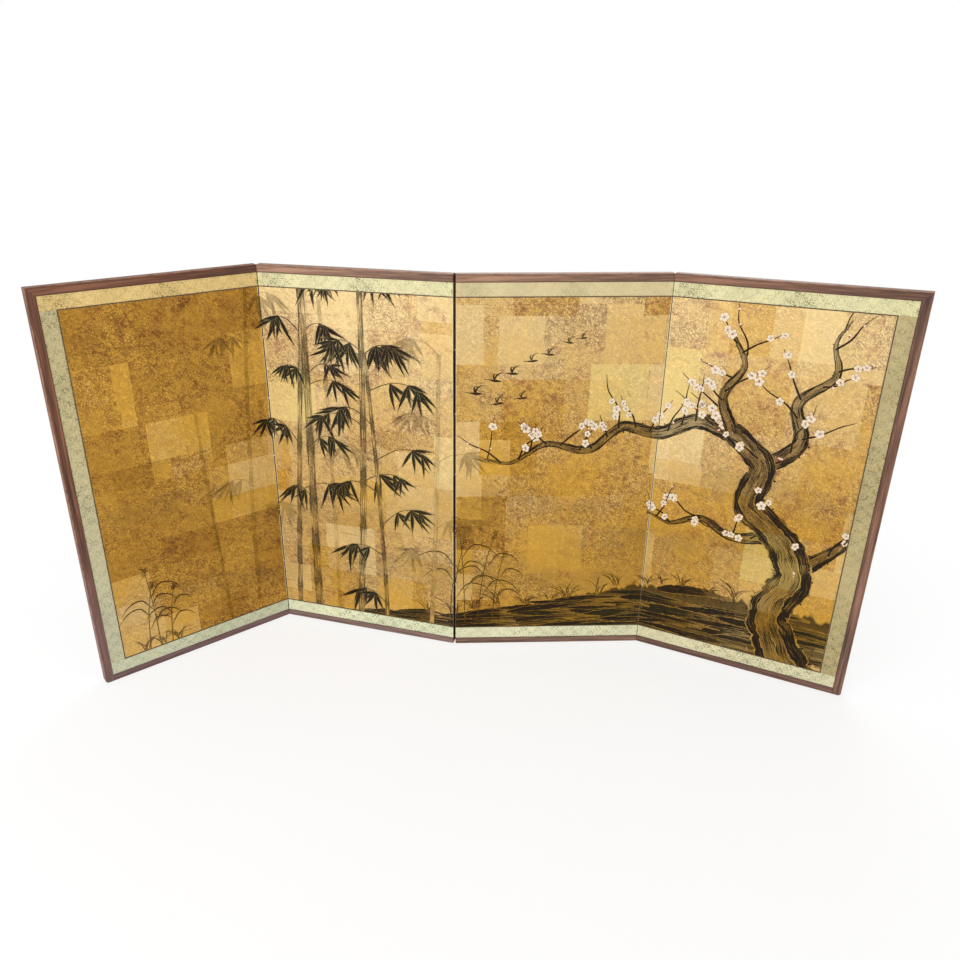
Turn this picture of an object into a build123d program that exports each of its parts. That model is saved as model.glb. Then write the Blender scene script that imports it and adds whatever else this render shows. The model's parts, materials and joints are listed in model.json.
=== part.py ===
from build123d import *
from math import cos, radians, sin
import os

# A four-panel folding screen. Every panel is a light lattice core between two papers, with a
# moulding along its top and foot. The two end panels also have a moulding up their outer side.
# Paper hinges join the panels, so that a fold turns about the corner where two panels touch.
# Millimetres, +Z up. The origin is on the floor, in the middle of the standing screen's footprint.

# ---- driving dimensions -------------------------------------------------------------------------

# Overall
screen_height = 914.4
panel_depth = 19.0
core_width = 457.2

# Mouldings, as widths seen from the front
top_face = 18.0
foot_face = 16.5
side_face = 19.0
moulding_lip = 1.8
moulding_round = 1.2
outer_foot_round = 7.0

# Papers, brocade and fillets
paper_thickness = 1.0
brocade_thickness = 0.4
brocade_top_width = 29.0
brocade_foot_width = 30.0
brocade_side_width = 31.5
fillet_width = 2.2
fillet_thickness = 0.9

# Core frame and lattice
core_stile_width = 36.0
core_rail_width = 34.0
tenon_length = 22.0
tenon_thickness = 4.6
tenon_shoulder = 6.0
lattice_bar_width = 14.0
lattice_columns = 4
lattice_rows = 8

# Nails
nail_shank_diameter = 1.8
nail_head_diameter = 3.0
nail_head_thickness = 1.0
nail_head_sunk = 1.5
nail_length = 32.0
nail_end_margin = 90.0
nails_along_rail = 4
nails_along_side = 6

# Hinges
hinge_sections = 6
hinge_section_gap = 1.5
hinge_cloth_thickness = 0.3
hinge_tab_width = 13.0

# Standing pose: the direction of each panel seen from above, in degrees from +X
panel_turns = [40.0, -15.5, 3.0, -26.0]

# Clearances
edge_clearance = 0.3
axis_clearance = 0.15
nail_hole_clearance = 0.05

# ---- derived dimensions -------------------------------------------------------------------------

panel_count = len(panel_turns)
core_height = screen_height - top_face - foot_face
core_low = foot_face
core_high = screen_height - top_face
core_front = moulding_lip + paper_thickness
core_depth = panel_depth - 2 * core_front
nail_hole_radius = nail_shank_diameter / 2 + nail_hole_clearance
nail_head_hole_radius = nail_head_diameter / 2 + nail_hole_clearance


# ---- where the panels stand ---------------------------------------------------------------------

def along(turn):
    """The direction in which a panel runs from its left edge to its right edge."""
    return Vector(cos(radians(turn)), sin(radians(turn)), 0)


def backward(turn):
    """The direction from a panel's front to its back."""
    return Vector(-sin(radians(turn)), cos(radians(turn)), 0)


def has_left_side(index):
    return index == 0


def has_right_side(index):
    return index == panel_count - 1


def panel_width(index):
    """A panel's whole width: its core, with a side moulding on the screen's outer edges."""
    sides = has_left_side(index) + has_right_side(index)
    return core_width + side_face * sides


def core_left(index):
    return side_face if has_left_side(index) else 0.0


def core_right(index):
    return core_left(index) + core_width


def fold_is_valley(fold):
    """A valley turns about the panels' front corners, a ridge about their back corners."""
    return panel_turns[fold] > panel_turns[fold + 1]


def fold_axis_depth(fold):
    """How far behind the panels' front plane a fold's axis lies."""
    return -axis_clearance if fold_is_valley(fold) else panel_depth + axis_clearance


def stand_panels():
    """The front left corner of each panel and the axis of each fold, on the floor."""
    corners = [Vector(0, 0, 0)]
    axes = []
    for fold in range(panel_count - 1):
        turn = panel_turns[fold]
        next_turn = panel_turns[fold + 1]
        reach = panel_width(fold) + edge_clearance
        depth = fold_axis_depth(fold)
        axis = corners[fold] + along(turn) * reach + backward(turn) * depth
        corner = axis + along(next_turn) * edge_clearance - backward(next_turn) * depth
        axes.append(axis)
        corners.append(corner)
    return corners, axes


def footprint_middle(corners):
    """The middle of the box round all of the panels' plan outlines."""
    xs = []
    ys = []
    for index, corner in enumerate(corners):
        for reach in (0, panel_width(index)):
            for depth in (0, panel_depth):
                point = corner + along(panel_turns[index]) * reach
                point = point + backward(panel_turns[index]) * depth
                xs.append(point.X)
                ys.append(point.Y)
    return Vector((min(xs) + max(xs)) / 2, (min(ys) + max(ys)) / 2, 0)


free_corners, free_axes = stand_panels()
middle = footprint_middle(free_corners)
panel_corners = [corner - middle for corner in free_corners]
fold_axes = [axis - middle for axis in free_axes]


def face_plane(index, depth=0.0):
    """A panel's elevation: X along the panel, Y up, looking at its front, at a depth behind it."""
    turn = panel_turns[index]
    origin = panel_corners[index] + backward(turn) * depth
    return Plane(origin=origin, x_dir=along(turn), z_dir=backward(turn) * -1)


def plan_plane(index, height=0.0):
    """A panel's plan: X along the panel, Y from its front to its back, at a height."""
    origin = panel_corners[index] + Vector(0, 0, height)
    return Plane(origin=origin, x_dir=along(panel_turns[index]), z_dir=(0, 0, 1))


def end_plane(index, reach=0.0):
    """A panel's cross-section: X from front to back, Y up, facing along the panel."""
    turn = panel_turns[index]
    origin = panel_corners[index] + along(turn) * reach
    return Plane(origin=origin, x_dir=backward(turn), z_dir=along(turn))


def spread(first, last, count):
    """Evenly spaced values from the first to the last."""
    step = (last - first) / (count - 1)
    return [first + step * number for number in range(count)]


def write(part, name):
    part.label = name
    export_step(part, f"parts/{name}.step")


def panel_name(index):
    return f"panel_{index + 1}"


# ---- nail positions -----------------------------------------------------------------------------

def rail_nail_reaches(index):
    """Where the nails of a top or foot moulding stand along the panel."""
    first = core_left(index) + nail_end_margin
    last = core_right(index) - nail_end_margin
    return spread(first, last, nails_along_rail)


def side_nail_heights():
    """Where the nails of a side moulding stand above the floor."""
    return spread(core_low + nail_end_margin, core_high - nail_end_margin, nails_along_side)


def outer_face_reach(index):
    """The reach of an end panel's outer face."""
    return 0.0 if has_left_side(index) else panel_width(index)


def side_direction(index):
    """+1 where the way into the panel from its outer face runs along it, -1 where it runs back."""
    return 1 if has_left_side(index) else -1


# Each nail's line starts on the moulding's outer face and runs into the core. These planes face
# along that line, so that a positive extrusion drives inward.

def top_nail_plane(index, reach, sunk=0.0):
    turn = panel_turns[index]
    depth = panel_depth / 2
    origin = panel_corners[index] + along(turn) * reach + backward(turn) * depth
    origin = origin + Vector(0, 0, screen_height - sunk)
    return Plane(origin=origin, x_dir=along(turn), z_dir=(0, 0, -1))


def foot_nail_plane(index, reach, sunk=0.0):
    turn = panel_turns[index]
    depth = panel_depth / 2
    origin = panel_corners[index] + along(turn) * reach + backward(turn) * depth
    origin = origin + Vector(0, 0, sunk)
    return Plane(origin=origin, x_dir=along(turn), z_dir=(0, 0, 1))


def side_nail_plane(index, height, sunk=0.0):
    turn = panel_turns[index]
    depth = panel_depth / 2
    inward = along(turn) * side_direction(index)
    origin = panel_corners[index] + along(turn) * outer_face_reach(index)
    origin = origin + backward(turn) * depth + Vector(0, 0, height) + inward * sunk
    return Plane(origin=origin, x_dir=backward(turn), z_dir=inward)


def nail_planes(index, sunk=0.0):
    """The planes of all of a panel's nails, sunk a little way below the mouldings' faces."""
    planes = [top_nail_plane(index, reach, sunk) for reach in rail_nail_reaches(index)]
    planes += [foot_nail_plane(index, reach, sunk) for reach in rail_nail_reaches(index)]
    if has_left_side(index) or has_right_side(index):
        planes += [side_nail_plane(index, height, sunk) for height in side_nail_heights()]
    return planes


def bore_nails(planes):
    """Cuts the nails' holes, head and shank, from the part that is being built."""
    with BuildSketch(*planes) as heads:
        Circle(nail_head_hole_radius)
    extrude(heads.sketch, amount=nail_head_sunk + nail_head_thickness, mode=Mode.SUBTRACT)
    with BuildSketch(*planes) as shanks:
        Circle(nail_hole_radius)
    depth = nail_head_sunk + nail_length + nail_hole_clearance
    extrude(shanks.sketch, amount=depth, mode=Mode.SUBTRACT)


# ---- mouldings ----------------------------------------------------------------------------------

def long_edges(edges, direction):
    """The edges that run along a moulding, out of all of its edges."""
    return edges.filter_by(lambda edge: abs(edge.tangent_at(0.5).dot(direction)) > 0.999)


def make_top_moulding(index):
    """A bar along the top. It is mitred where it meets a side moulding."""
    right = panel_width(index)
    left_inset = side_face if has_left_side(index) else 0.0
    right_inset = side_face if has_right_side(index) else 0.0
    with BuildPart() as moulding:
        with BuildSketch(face_plane(index)):
            with BuildLine():
                Polyline(
                    (left_inset, core_high),
                    (right - right_inset, core_high),
                    (right, screen_height),
                    (0, screen_height),
                    close=True,
                )
            make_face()
        extrude(amount=-panel_depth)
        fillet(long_edges(moulding.edges(), along(panel_turns[index])), moulding_round)
        bore_nails([top_nail_plane(index, reach) for reach in rail_nail_reaches(index)])
    return moulding.part


def make_foot_moulding(index):
    """A bar along the foot, butting against a side moulding where the panel has one."""
    with BuildPart() as moulding:
        with BuildSketch(face_plane(index)):
            with Locations((core_left(index), 0)):
                Rectangle(core_width, foot_face, align=(Align.MIN, Align.MIN))
        extrude(amount=-panel_depth)
        fillet(long_edges(moulding.edges(), along(panel_turns[index])), moulding_round)
        bore_nails([foot_nail_plane(index, reach) for reach in rail_nail_reaches(index)])
    return moulding.part


def make_side_moulding(index):
    """A bar up the outer side: mitred at the top, and standing on the floor at the foot."""
    outer = outer_face_reach(index)
    inner = outer + side_face * side_direction(index)
    with BuildPart() as moulding:
        with BuildSketch(face_plane(index)):
            with BuildLine():
                Polyline(
                    (outer, 0),
                    (inner, 0),
                    (inner, core_high),
                    (outer, screen_height),
                    close=True,
                )
            make_face()
        extrude(amount=-panel_depth)
        across = long_edges(moulding.edges(), backward(panel_turns[index]))
        low_edges = across.group_by(Axis.Z)[0]
        outer_direction = Axis((0, 0, 0), along(panel_turns[index]) * -side_direction(index))
        foot_corner = low_edges.sort_by(outer_direction)[-1]
        fillet(foot_corner, outer_foot_round)
        fillet(long_edges(moulding.edges(), Vector(0, 0, 1)), moulding_round)
        bore_nails([side_nail_plane(index, height) for height in side_nail_heights()])
    return moulding.part


def make_nails(index):
    """All of a panel's moulding nails: a shank under a flat head."""
    with BuildPart() as nails:
        for plane in nail_planes(index, nail_head_sunk):
            with BuildSketch(plane):
                Circle(nail_head_diameter / 2)
            extrude(amount=nail_head_thickness)
            with BuildSketch(plane.offset(nail_head_thickness)):
                Circle(nail_shank_diameter / 2)
            extrude(amount=nail_length - nail_head_thickness)
    return nails.part


# ---- core ---------------------------------------------------------------------------------------

def core_bays(first, last, count, bar):
    """The middles of the lattice bars that divide a clear opening into even bays."""
    clear = (last - first - bar * (count - 1)) / count
    return [first + clear * number + bar * (number - 0.5) for number in range(1, count)]


def lattice_reaches(index):
    first = core_left(index) + core_stile_width
    last = core_right(index) - core_stile_width
    return core_bays(first, last, lattice_columns, lattice_bar_width)


def lattice_heights():
    first = core_low + core_rail_width
    last = core_high - core_rail_width
    return core_bays(first, last, lattice_rows, lattice_bar_width)


def rail_bottoms():
    return [core_low, core_high - core_rail_width]


def tenon_height():
    return core_rail_width - 2 * tenon_shoulder


def sketch_tenons():
    """The tenons' section, on a panel's cross-section plane, for both rails."""
    for bottom in rail_bottoms():
        with Locations((panel_depth / 2, bottom + core_rail_width / 2)):
            Rectangle(tenon_thickness, tenon_height())


def make_core_stiles(index):
    """The core frame's two uprights, mortised for the rails' tenons."""
    inner_left = core_left(index) + core_stile_width
    inner_right = core_right(index) - core_stile_width
    with BuildPart() as stiles:
        with BuildSketch(face_plane(index, core_front)):
            with Locations((core_left(index), core_low)):
                Rectangle(core_stile_width, core_height, align=(Align.MIN, Align.MIN))
            with Locations((core_right(index), core_low)):
                Rectangle(core_stile_width, core_height, align=(Align.MAX, Align.MIN))
        extrude(amount=-core_depth)
        with BuildSketch(end_plane(index, inner_left)):
            sketch_tenons()
        extrude(amount=-tenon_length, mode=Mode.SUBTRACT)
        with BuildSketch(end_plane(index, inner_right)):
            sketch_tenons()
        extrude(amount=tenon_length, mode=Mode.SUBTRACT)
        if has_left_side(index) or has_right_side(index):
            bore_nails([side_nail_plane(index, height) for height in side_nail_heights()])
    return stiles.part


def make_core_rails(index):
    """The core frame's top and bottom rails, with a tenon at each end."""
    inner_left = core_left(index) + core_stile_width
    inner_right = core_right(index) - core_stile_width
    with BuildPart() as rails:
        with BuildSketch(face_plane(index, core_front)):
            for bottom in rail_bottoms():
                with Locations((inner_left, bottom)):
                    Rectangle(inner_right - inner_left, core_rail_width, align=(Align.MIN, Align.MIN))
        extrude(amount=-core_depth)
        with BuildSketch(end_plane(index, inner_left - tenon_length)):
            sketch_tenons()
        extrude(amount=inner_right - inner_left + 2 * tenon_length)
        bore_nails([top_nail_plane(index, reach) for reach in rail_nail_reaches(index)])
        bore_nails([foot_nail_plane(index, reach) for reach in rail_nail_reaches(index)])
    return rails.part


def make_lattice_uprights(index):
    """The lattice's uprights, notched from the front where the crossbars cross them."""
    low = core_low + core_rail_width
    high = core_high - core_rail_width
    with BuildPart() as uprights:
        with BuildSketch(face_plane(index, core_front)):
            for reach in lattice_reaches(index):
                with Locations((reach, low)):
                    Rectangle(lattice_bar_width, high - low, align=(Align.CENTER, Align.MIN))
        extrude(amount=-core_depth)
        with BuildSketch(face_plane(index, core_front)):
            for reach in lattice_reaches(index):
                for height in lattice_heights():
                    with Locations((reach, height)):
                        Rectangle(lattice_bar_width, lattice_bar_width)
        extrude(amount=-core_depth / 2, mode=Mode.SUBTRACT)
    return uprights.part


def make_lattice_crossbars(index):
    """The lattice's crossbars, notched from the back where they cross the uprights."""
    left = core_left(index) + core_stile_width
    right = core_right(index) - core_stile_width
    with BuildPart() as crossbars:
        with BuildSketch(face_plane(index, core_front)):
            for height in lattice_heights():
                with Locations((left, height)):
                    Rectangle(right - left, lattice_bar_width, align=(Align.MIN, Align.CENTER))
        extrude(amount=-core_depth)
        with BuildSketch(face_plane(index, core_front + core_depth / 2)):
            for reach in lattice_reaches(index):
                for height in lattice_heights():
                    with Locations((reach, height)):
                        Rectangle(lattice_bar_width, lattice_bar_width)
        extrude(amount=-core_depth / 2, mode=Mode.SUBTRACT)
    return crossbars.part


# ---- papers and borders -------------------------------------------------------------------------

def make_paper(index, depth):
    """A sheet that covers the whole core, its front at the given depth."""
    with BuildPart() as paper:
        with BuildSketch(face_plane(index, depth)):
            with Locations((core_left(index), core_low)):
                Rectangle(core_width, core_height, align=(Align.MIN, Align.MIN))
        extrude(amount=-paper_thickness)
    return paper.part


def make_level_brocade(index, low, width):
    """A brocade strip across the panel, stuck on the front paper."""
    with BuildPart() as brocade:
        with BuildSketch(face_plane(index, moulding_lip)):
            with Locations((core_left(index), low)):
                Rectangle(core_width, width, align=(Align.MIN, Align.MIN))
        extrude(amount=brocade_thickness)
    return brocade.part


def make_side_brocade(index):
    """A brocade strip up the outer side of an end panel, between its top and foot strips."""
    low = core_low + brocade_foot_width
    high = core_high - brocade_top_width
    edge = core_left(index) if has_left_side(index) else core_right(index)
    outer = Align.MIN if has_left_side(index) else Align.MAX
    with BuildPart() as brocade:
        with BuildSketch(face_plane(index, moulding_lip)):
            with Locations((edge, low)):
                Rectangle(brocade_side_width, high - low, align=(outer, Align.MIN))
        extrude(amount=brocade_thickness)
    return brocade.part


def make_fillets(index):
    """The thin strips that edge the painting on the inside of the brocade."""
    left = core_left(index) + (brocade_side_width if has_left_side(index) else 0)
    right = core_right(index) - (brocade_side_width if has_right_side(index) else 0)
    low = core_low + brocade_foot_width
    high = core_high - brocade_top_width
    with BuildPart() as fillets:
        with BuildSketch(face_plane(index, moulding_lip)):
            with Locations((left, high)):
                Rectangle(right - left, fillet_width, align=(Align.MIN, Align.MAX))
            with Locations((left, low)):
                Rectangle(right - left, fillet_width, align=(Align.MIN, Align.MIN))
            if has_left_side(index):
                with Locations((left, low)):
                    Rectangle(fillet_width, high - low, align=(Align.MIN, Align.MIN))
            if has_right_side(index):
                with Locations((right, low)):
                    Rectangle(fillet_width, high - low, align=(Align.MAX, Align.MIN))
        extrude(amount=fillet_thickness)
    return fillets.part


# ---- hinges -------------------------------------------------------------------------------------

# A paper hinge is a row of strips, one above the other. Each strip starts on one panel's face at
# the corner where the panels touch and lies along the other panel's edge. The strips change sides
# in turn, so that each panel's edge carries every second one. A strip's tab ends on a back face: in
# a valley that is the back of the panel whose edge it lies on, and in a ridge the back of the other.

def section_height():
    return core_height / hinge_sections


def sketch_hinge_band(index, edge, outward):
    """A strip's stretch along a panel's edge, from front plane to back paper, in plan."""
    with Locations((edge, 0)):
        outer = Align.MIN if outward > 0 else Align.MAX
        Rectangle(hinge_cloth_thickness, panel_depth - moulding_lip, align=(outer, Align.MIN))


def sketch_hinge_tab(index, edge, outward):
    """A strip's tab on a panel's back paper, from its edge inward, in plan."""
    start = edge + outward * hinge_cloth_thickness
    outer = Align.MAX if outward > 0 else Align.MIN
    width = hinge_tab_width + hinge_cloth_thickness
    with Locations((start, panel_depth - moulding_lip)):
        Rectangle(width, hinge_cloth_thickness, align=(outer, Align.MIN))


def sketch_ridge_band(index, edge, outward):
    """A ridge strip's stretch along a panel's edge, from front paper to back plane, in plan."""
    with Locations((edge, moulding_lip)):
        outer = Align.MIN if outward > 0 else Align.MAX
        Rectangle(hinge_cloth_thickness, panel_depth - moulding_lip, align=(outer, Align.MIN))


def make_hinge_strips(fold, index):
    """The hinge strips of one fold that ride on one of its two panels."""
    on_left_panel = index == fold
    outward = 1 if on_left_panel else -1
    edge = core_right(index) if on_left_panel else core_left(index)
    own_parity = 0 if on_left_panel else 1
    height = section_height() - hinge_section_gap
    with BuildPart() as strips:
        for section in range(hinge_sections):
            low = core_low + section * section_height() + hinge_section_gap / 2
            owned = section % 2 == own_parity
            if fold_is_valley(fold) and owned:
                with BuildSketch(plan_plane(index, low)):
                    sketch_hinge_band(index, edge, outward)
                    sketch_hinge_tab(index, edge, outward)
                extrude(amount=height)
            if not fold_is_valley(fold) and owned:
                with BuildSketch(plan_plane(index, low)):
                    sketch_ridge_band(index, edge, outward)
                extrude(amount=height)
            if not fold_is_valley(fold) and not owned:
                with BuildSketch(plan_plane(index, low)):
                    sketch_hinge_tab(index, edge, outward)
                extrude(amount=height)
    return strips.part


# ---- build --------------------------------------------------------------------------------------

os.makedirs("parts", exist_ok=True)

for panel in range(panel_count):
    label = panel_name(panel)
    write(make_core_stiles(panel), f"{label}_core_stiles")
    write(make_core_rails(panel), f"{label}_core_rails")
    write(make_lattice_uprights(panel), f"{label}_lattice_uprights")
    write(make_lattice_crossbars(panel), f"{label}_lattice_crossbars")
    write(make_paper(panel, moulding_lip), f"{label}_front_paper")
    write(make_paper(panel, panel_depth - core_front), f"{label}_back_paper")
    write(make_top_moulding(panel), f"{label}_top_moulding")
    write(make_foot_moulding(panel), f"{label}_foot_moulding")
    write(make_nails(panel), f"{label}_moulding_nails")
    top_low = core_high - brocade_top_width
    write(make_level_brocade(panel, top_low, brocade_top_width), f"{label}_top_brocade")
    write(make_level_brocade(panel, core_low, brocade_foot_width), f"{label}_foot_brocade")
    write(make_fillets(panel), f"{label}_fillets")
    if has_left_side(panel) or has_right_side(panel):
        write(make_side_moulding(panel), f"{label}_side_moulding")
        write(make_side_brocade(panel), f"{label}_side_brocade")

for fold in range(panel_count - 1):
    fold_name = f"fold_{fold + 1}{fold + 2}"
    for panel in (fold, fold + 1):
        write(make_hinge_strips(fold, panel), f"{fold_name}_hinge_strips_on_{panel_name(panel)}")

for fold, axis in enumerate(fold_axes):
    deviation = panel_turns[fold] - panel_turns[fold + 1]
    print(f"fold_{fold + 1}{fold + 2} axis", round(axis.X, 4), round(axis.Y, 4), "turn", deviation)
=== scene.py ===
"""Finish of a four-panel folding screen: papers, brushwork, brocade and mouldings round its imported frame."""

import json
import math

import bpy
import numpy as np
from bpy.props import FloatProperty, FloatVectorProperty, PointerProperty
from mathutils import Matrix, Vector


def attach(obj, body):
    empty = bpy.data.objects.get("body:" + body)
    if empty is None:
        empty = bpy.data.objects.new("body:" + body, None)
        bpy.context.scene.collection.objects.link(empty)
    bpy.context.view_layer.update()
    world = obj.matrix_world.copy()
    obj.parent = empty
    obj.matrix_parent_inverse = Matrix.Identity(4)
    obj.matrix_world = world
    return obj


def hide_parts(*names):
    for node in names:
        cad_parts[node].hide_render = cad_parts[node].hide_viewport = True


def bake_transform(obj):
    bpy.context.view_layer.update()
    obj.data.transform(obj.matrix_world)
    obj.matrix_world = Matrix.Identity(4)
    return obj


bl_info = {
    "name": "Folding Screen Finish",
    "version": (1, 0, 0),
    "blender": (4, 5, 0),
    "location": "View3D > Sidebar > Screen",
    "description": "Dresses a folding screen in gilt leaf, brushwork, brocade and lacquered mouldings",
    "category": "Object",
}

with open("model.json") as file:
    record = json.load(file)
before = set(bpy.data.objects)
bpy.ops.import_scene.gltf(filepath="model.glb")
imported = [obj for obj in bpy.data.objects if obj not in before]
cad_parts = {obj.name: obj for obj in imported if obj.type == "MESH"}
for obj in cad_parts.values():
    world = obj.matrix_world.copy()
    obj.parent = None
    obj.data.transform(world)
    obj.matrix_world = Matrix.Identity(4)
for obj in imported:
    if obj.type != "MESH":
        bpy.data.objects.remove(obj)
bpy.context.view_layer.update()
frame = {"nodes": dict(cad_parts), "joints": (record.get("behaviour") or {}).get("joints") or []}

MM = 0.001
PANEL_NUMBERS = (1, 2, 3, 4)

# Camera
CAMERA_PLACE = (0.00751, -1.68900, 1.19122)
CAMERA_PITCH = 66.39
CAMERA_YAW = 1.48
CAMERA_LENS = 30.397
CAMERA_SHIFT = (0.02633, 0.00257)

# Paper and paint film
PAPER_GRID = 5 * MM
PAPER_SLACK = 0.1 * MM
SLACK_BORDER = 30 * MM
PAINT_CLEARANCE = 0.05 * MM
PAINT_STEP = 0.006 * MM
PAINT_FILM = 0.02 * MM
PAINT_MARGIN = 0.2 * MM
LEAST_HALF_WIDTH = 0.05 * MM
SMALLEST_FACE = 1e-11
STILL_POINT_GUARD = 1e-9

# Border cloth and hinge strips
BROCADE_GRID = 5 * MM
BROCADE_PUCKER = 0.06 * MM
BACK_GRID = 15 * MM
BACK_SLACK = 0.12 * MM
PUCKER_BORDER = 4 * MM
HINGE_THICKNESS = 0.3 * MM
HINGE_TAB = 13 * MM
HINGE_TUCK = 2.4 * MM
HINGE_PROUD = 0.2 * MM
HINGE_ROUNDING = 0.25 * MM
HINGE_THREAD = 0.9 * MM
HINGE_ROWS = 14
HINGE_ARC_POINTS = 11
# A piece of a strip's line counts as in the fold up to this share of the arc's radius from the axis
HINGE_ARC_EASE = 1.004
HINGE_TONGUE_GAP = 1.6 * MM

# Sky and floor
SKY_STRENGTH = 0.62
FLOOR_REACH = 12.0
FLOOR_LEVEL = -0.5 * MM
FLOOR_GLOW = 1.11
FLOOR_WHITENESS = 0.64
LAMP_TARGET = (0.1, 0.0, 0.45)
# Each lamp's place, width, height and watts
LAMPS = {
    "key_lamp": ((-1.9, -2.6, 1.7), 2.4, 1.8, 52),
    "fill_lamp": ((2.4, -2.2, 1.3), 1.6, 1.6, 12),
    "back_lamp": ((0.8, 3.0, 1.9), 2.4, 1.6, 34),
}


# ---------------------------------------------------------------- colours and sizes a user may change


def tint(red, green, blue):
    """A colour given in steps of 0 to 255, as the linear light that the shaders take."""
    levels = (red / 255, green / 255, blue / 255)
    return tuple(((level + 0.055) / 1.055) ** 2.4 if level > 0.04 else level / 12.92 for level in levels)


def colour(name, description, red, green, blue):
    """A colour that the sidebar shows with its own swatch."""
    return FloatVectorProperty(
        name=name,
        description=description,
        subtype="COLOR",
        size=3,
        min=0,
        max=1,
        default=tint(red, green, blue),
    )


def toned(levels, share):
    """A colour with its levels multiplied by one share, or each by its own."""
    shares = share if isinstance(share, tuple) else (share,) * 3
    return tuple(level * part for level, part in zip(levels, shares))


def length(name, description, metres, low, high):
    """A length that the sidebar shows in the scene's units."""
    return FloatProperty(
        name=name, description=description, unit="LENGTH", precision=4, default=metres, min=low, max=high
    )


class ScreenColours(bpy.types.PropertyGroup):
    """Colours of the screen's finishes."""

    moulding: colour("Moulding", "Lacquered wood of the outer mouldings", 112, 75, 58)
    moulding_wear: colour("Moulding wear", "Bare wood along rubbed edges", 196, 146, 116)
    leaf_deep: colour("Deep leaf", "Darkest squares of the gilt ground", 176, 126, 34)
    leaf_warm: colour("Warm leaf", "Most of the gilt ground", 216, 166, 62)
    leaf_pale: colour("Pale leaf", "Palest squares of the gilt ground", 238, 209, 148)
    leaf_lemon: colour("Lemon leaf", "A few squares of paler alloy", 226, 198, 92)
    # This brown also darkens the low places of the crinkled leaf, as painted shade
    crumple_and_shade_brown: colour("Crumple and shade brown", "What the creases leave of the leaf's colour", 146, 120, 130)
    tarnish: colour("Tarnish", "What the rosy blotches leave of the leaf's colour", 206, 174, 204)
    ink: colour("Ink", "Full strength ink", 10, 10, 14)
    leaf_ink: colour("Green ink", "Ink with green for foliage", 12, 22, 16)
    wash: colour("Wash", "Thinned ink of mist and distance", 74, 62, 40)
    blossom: colour("Blossom", "Body colour of the petals", 240, 226, 206)
    bud: colour("Bud", "Red of buds and sepals", 168, 44, 30)
    brocade: colour("Brocade", "Satin ground of the borders", 222, 210, 164)
    brocade_figure: colour("Brocade figure", "Scrolling figure of the borders", 96, 100, 58)
    fillet: colour("Fillet", "Narrow dark strip round the painting", 88, 68, 42)
    back_paper: colour("Back paper", "Plain paper on the back", 148, 120, 88)
    hinge: colour("Hinge strips", "Cloth strips of the folds", 58, 40, 28)
    core_wood: colour("Core wood", "Softwood of the hidden frame", 206, 176, 128)
    nail: colour("Nails", "Steel of the moulding nails", 128, 122, 114)


class ScreenSizes(bpy.types.PropertyGroup):
    """Sizes of patterns and marks on the screen's finishes."""

    leaf_square: length("Leaf square", "Side of one square of gilt leaf", 0.140, 0.05, 0.3)
    crumple: length("Crumple", "Spacing of the fine creases in the leaf", 0.011, 0.003, 0.05)
    brocade_repeat: length("Brocade repeat", "Width of one scroll of the brocade", 0.0095, 0.004, 0.06)
    edge_wear: length("Edge wear", "Width of the rubbed band along a moulding's edges", 0.0016, 0.0002, 0.006)


# ---------------------------------------------------------------- the panels as the frame holds them


def node_corners(name):
    """Every corner of a node of the frame, as an array of points."""
    return np.array([vertex.co for vertex in frame["nodes"][name].data.vertices])


class PanelFrame:
    """One panel's own coordinates: along its paper from the left, behind its face and above the floor."""

    def __init__(self, number):
        self.number = number
        self.body = f"panel_{number}"
        paper = node_corners(f"panel_{number}_front_paper")
        plan = np.unique(np.round(paper[:, :2], 6), axis=0)
        _, _, end, _ = sorted(plan, key=lambda point: np.linalg.norm(point - plan[0]))
        along = (end - plan[0]) / np.linalg.norm(end - plan[0])
        self.along = along if along[0] > 0 else -along
        self.outward = np.array([self.along[1], -self.along[0]])
        left = (plan @ self.along).min()
        face = (plan @ self.outward).max()
        self.origin = self.along * left + self.outward * face
        self.turn = math.atan2(self.along[1], self.along[0])
        self.width = np.ptp(plan @ self.along)
        self.foot = paper[:, 2].min()
        self.top = paper[:, 2].max()
        self.paper_thickness = np.ptp(plan @ self.outward)
        self.unfolded_start = (number - 1) * self.width
        self.set_picture_edges()

    def set_picture_edges(self):
        """The painted field lies inside the fillets, and runs to the paper's edge at a fold."""
        fillets = self.inside(node_corners(f"{self.body}_fillets"))
        heights = np.unique(np.round(fillets[:, 2], 5))
        self.low, self.high = heights[1], heights[-2]
        stops = np.unique(np.round(fillets[:, 0], 5))
        self.left = stops[1] if stops[0] > MM else stops[0]
        self.right = stops[-2] if stops[-1] < self.width - MM else stops[-1]

    def inside(self, points):
        """Points of the row frame in the panel's own coordinates."""
        plan = points[:, :2] - self.origin
        return np.column_stack([plan @ self.along, -(plan @ self.outward), points[:, 2]])

    def outside(self, across, up, proud):
        """Points of the row frame, from places on the paper's face and how far each stands proud of it."""
        plan = self.origin + np.outer(across, self.along) + np.outer(proud, self.outward)
        return np.column_stack([plan, up])

    def span(self, piece, axis):
        """Lowest and highest coordinate of one of the panel's nodes along one of its own axes."""
        values = self.inside(node_corners(f"{self.body}_{piece}"))[:, axis]
        return values.min(), values.max()

    def slack(self, across, up):
        """How far the stretched paper stands off flat, up or down, with nothing at its borders."""
        inset = np.minimum.reduce([across - self.left, self.right - across, up - self.low, self.high - up])
        scaling = np.clip(inset / SLACK_BORDER, 0, 1)
        swell = np.sin(across * 23 + self.number) * np.cos(up * 17 + 2 * self.number)
        ripple = np.sin(across * 41 - up * 29 + 3 * self.number)
        return PAPER_SLACK * scaling * scaling * (3 - 2 * scaling) * (0.65 * swell + 0.35 * ripple)


PANELS = [PanelFrame(number) for number in PANEL_NUMBERS]


# ---------------------------------------------------------------- writing node trees


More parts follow.
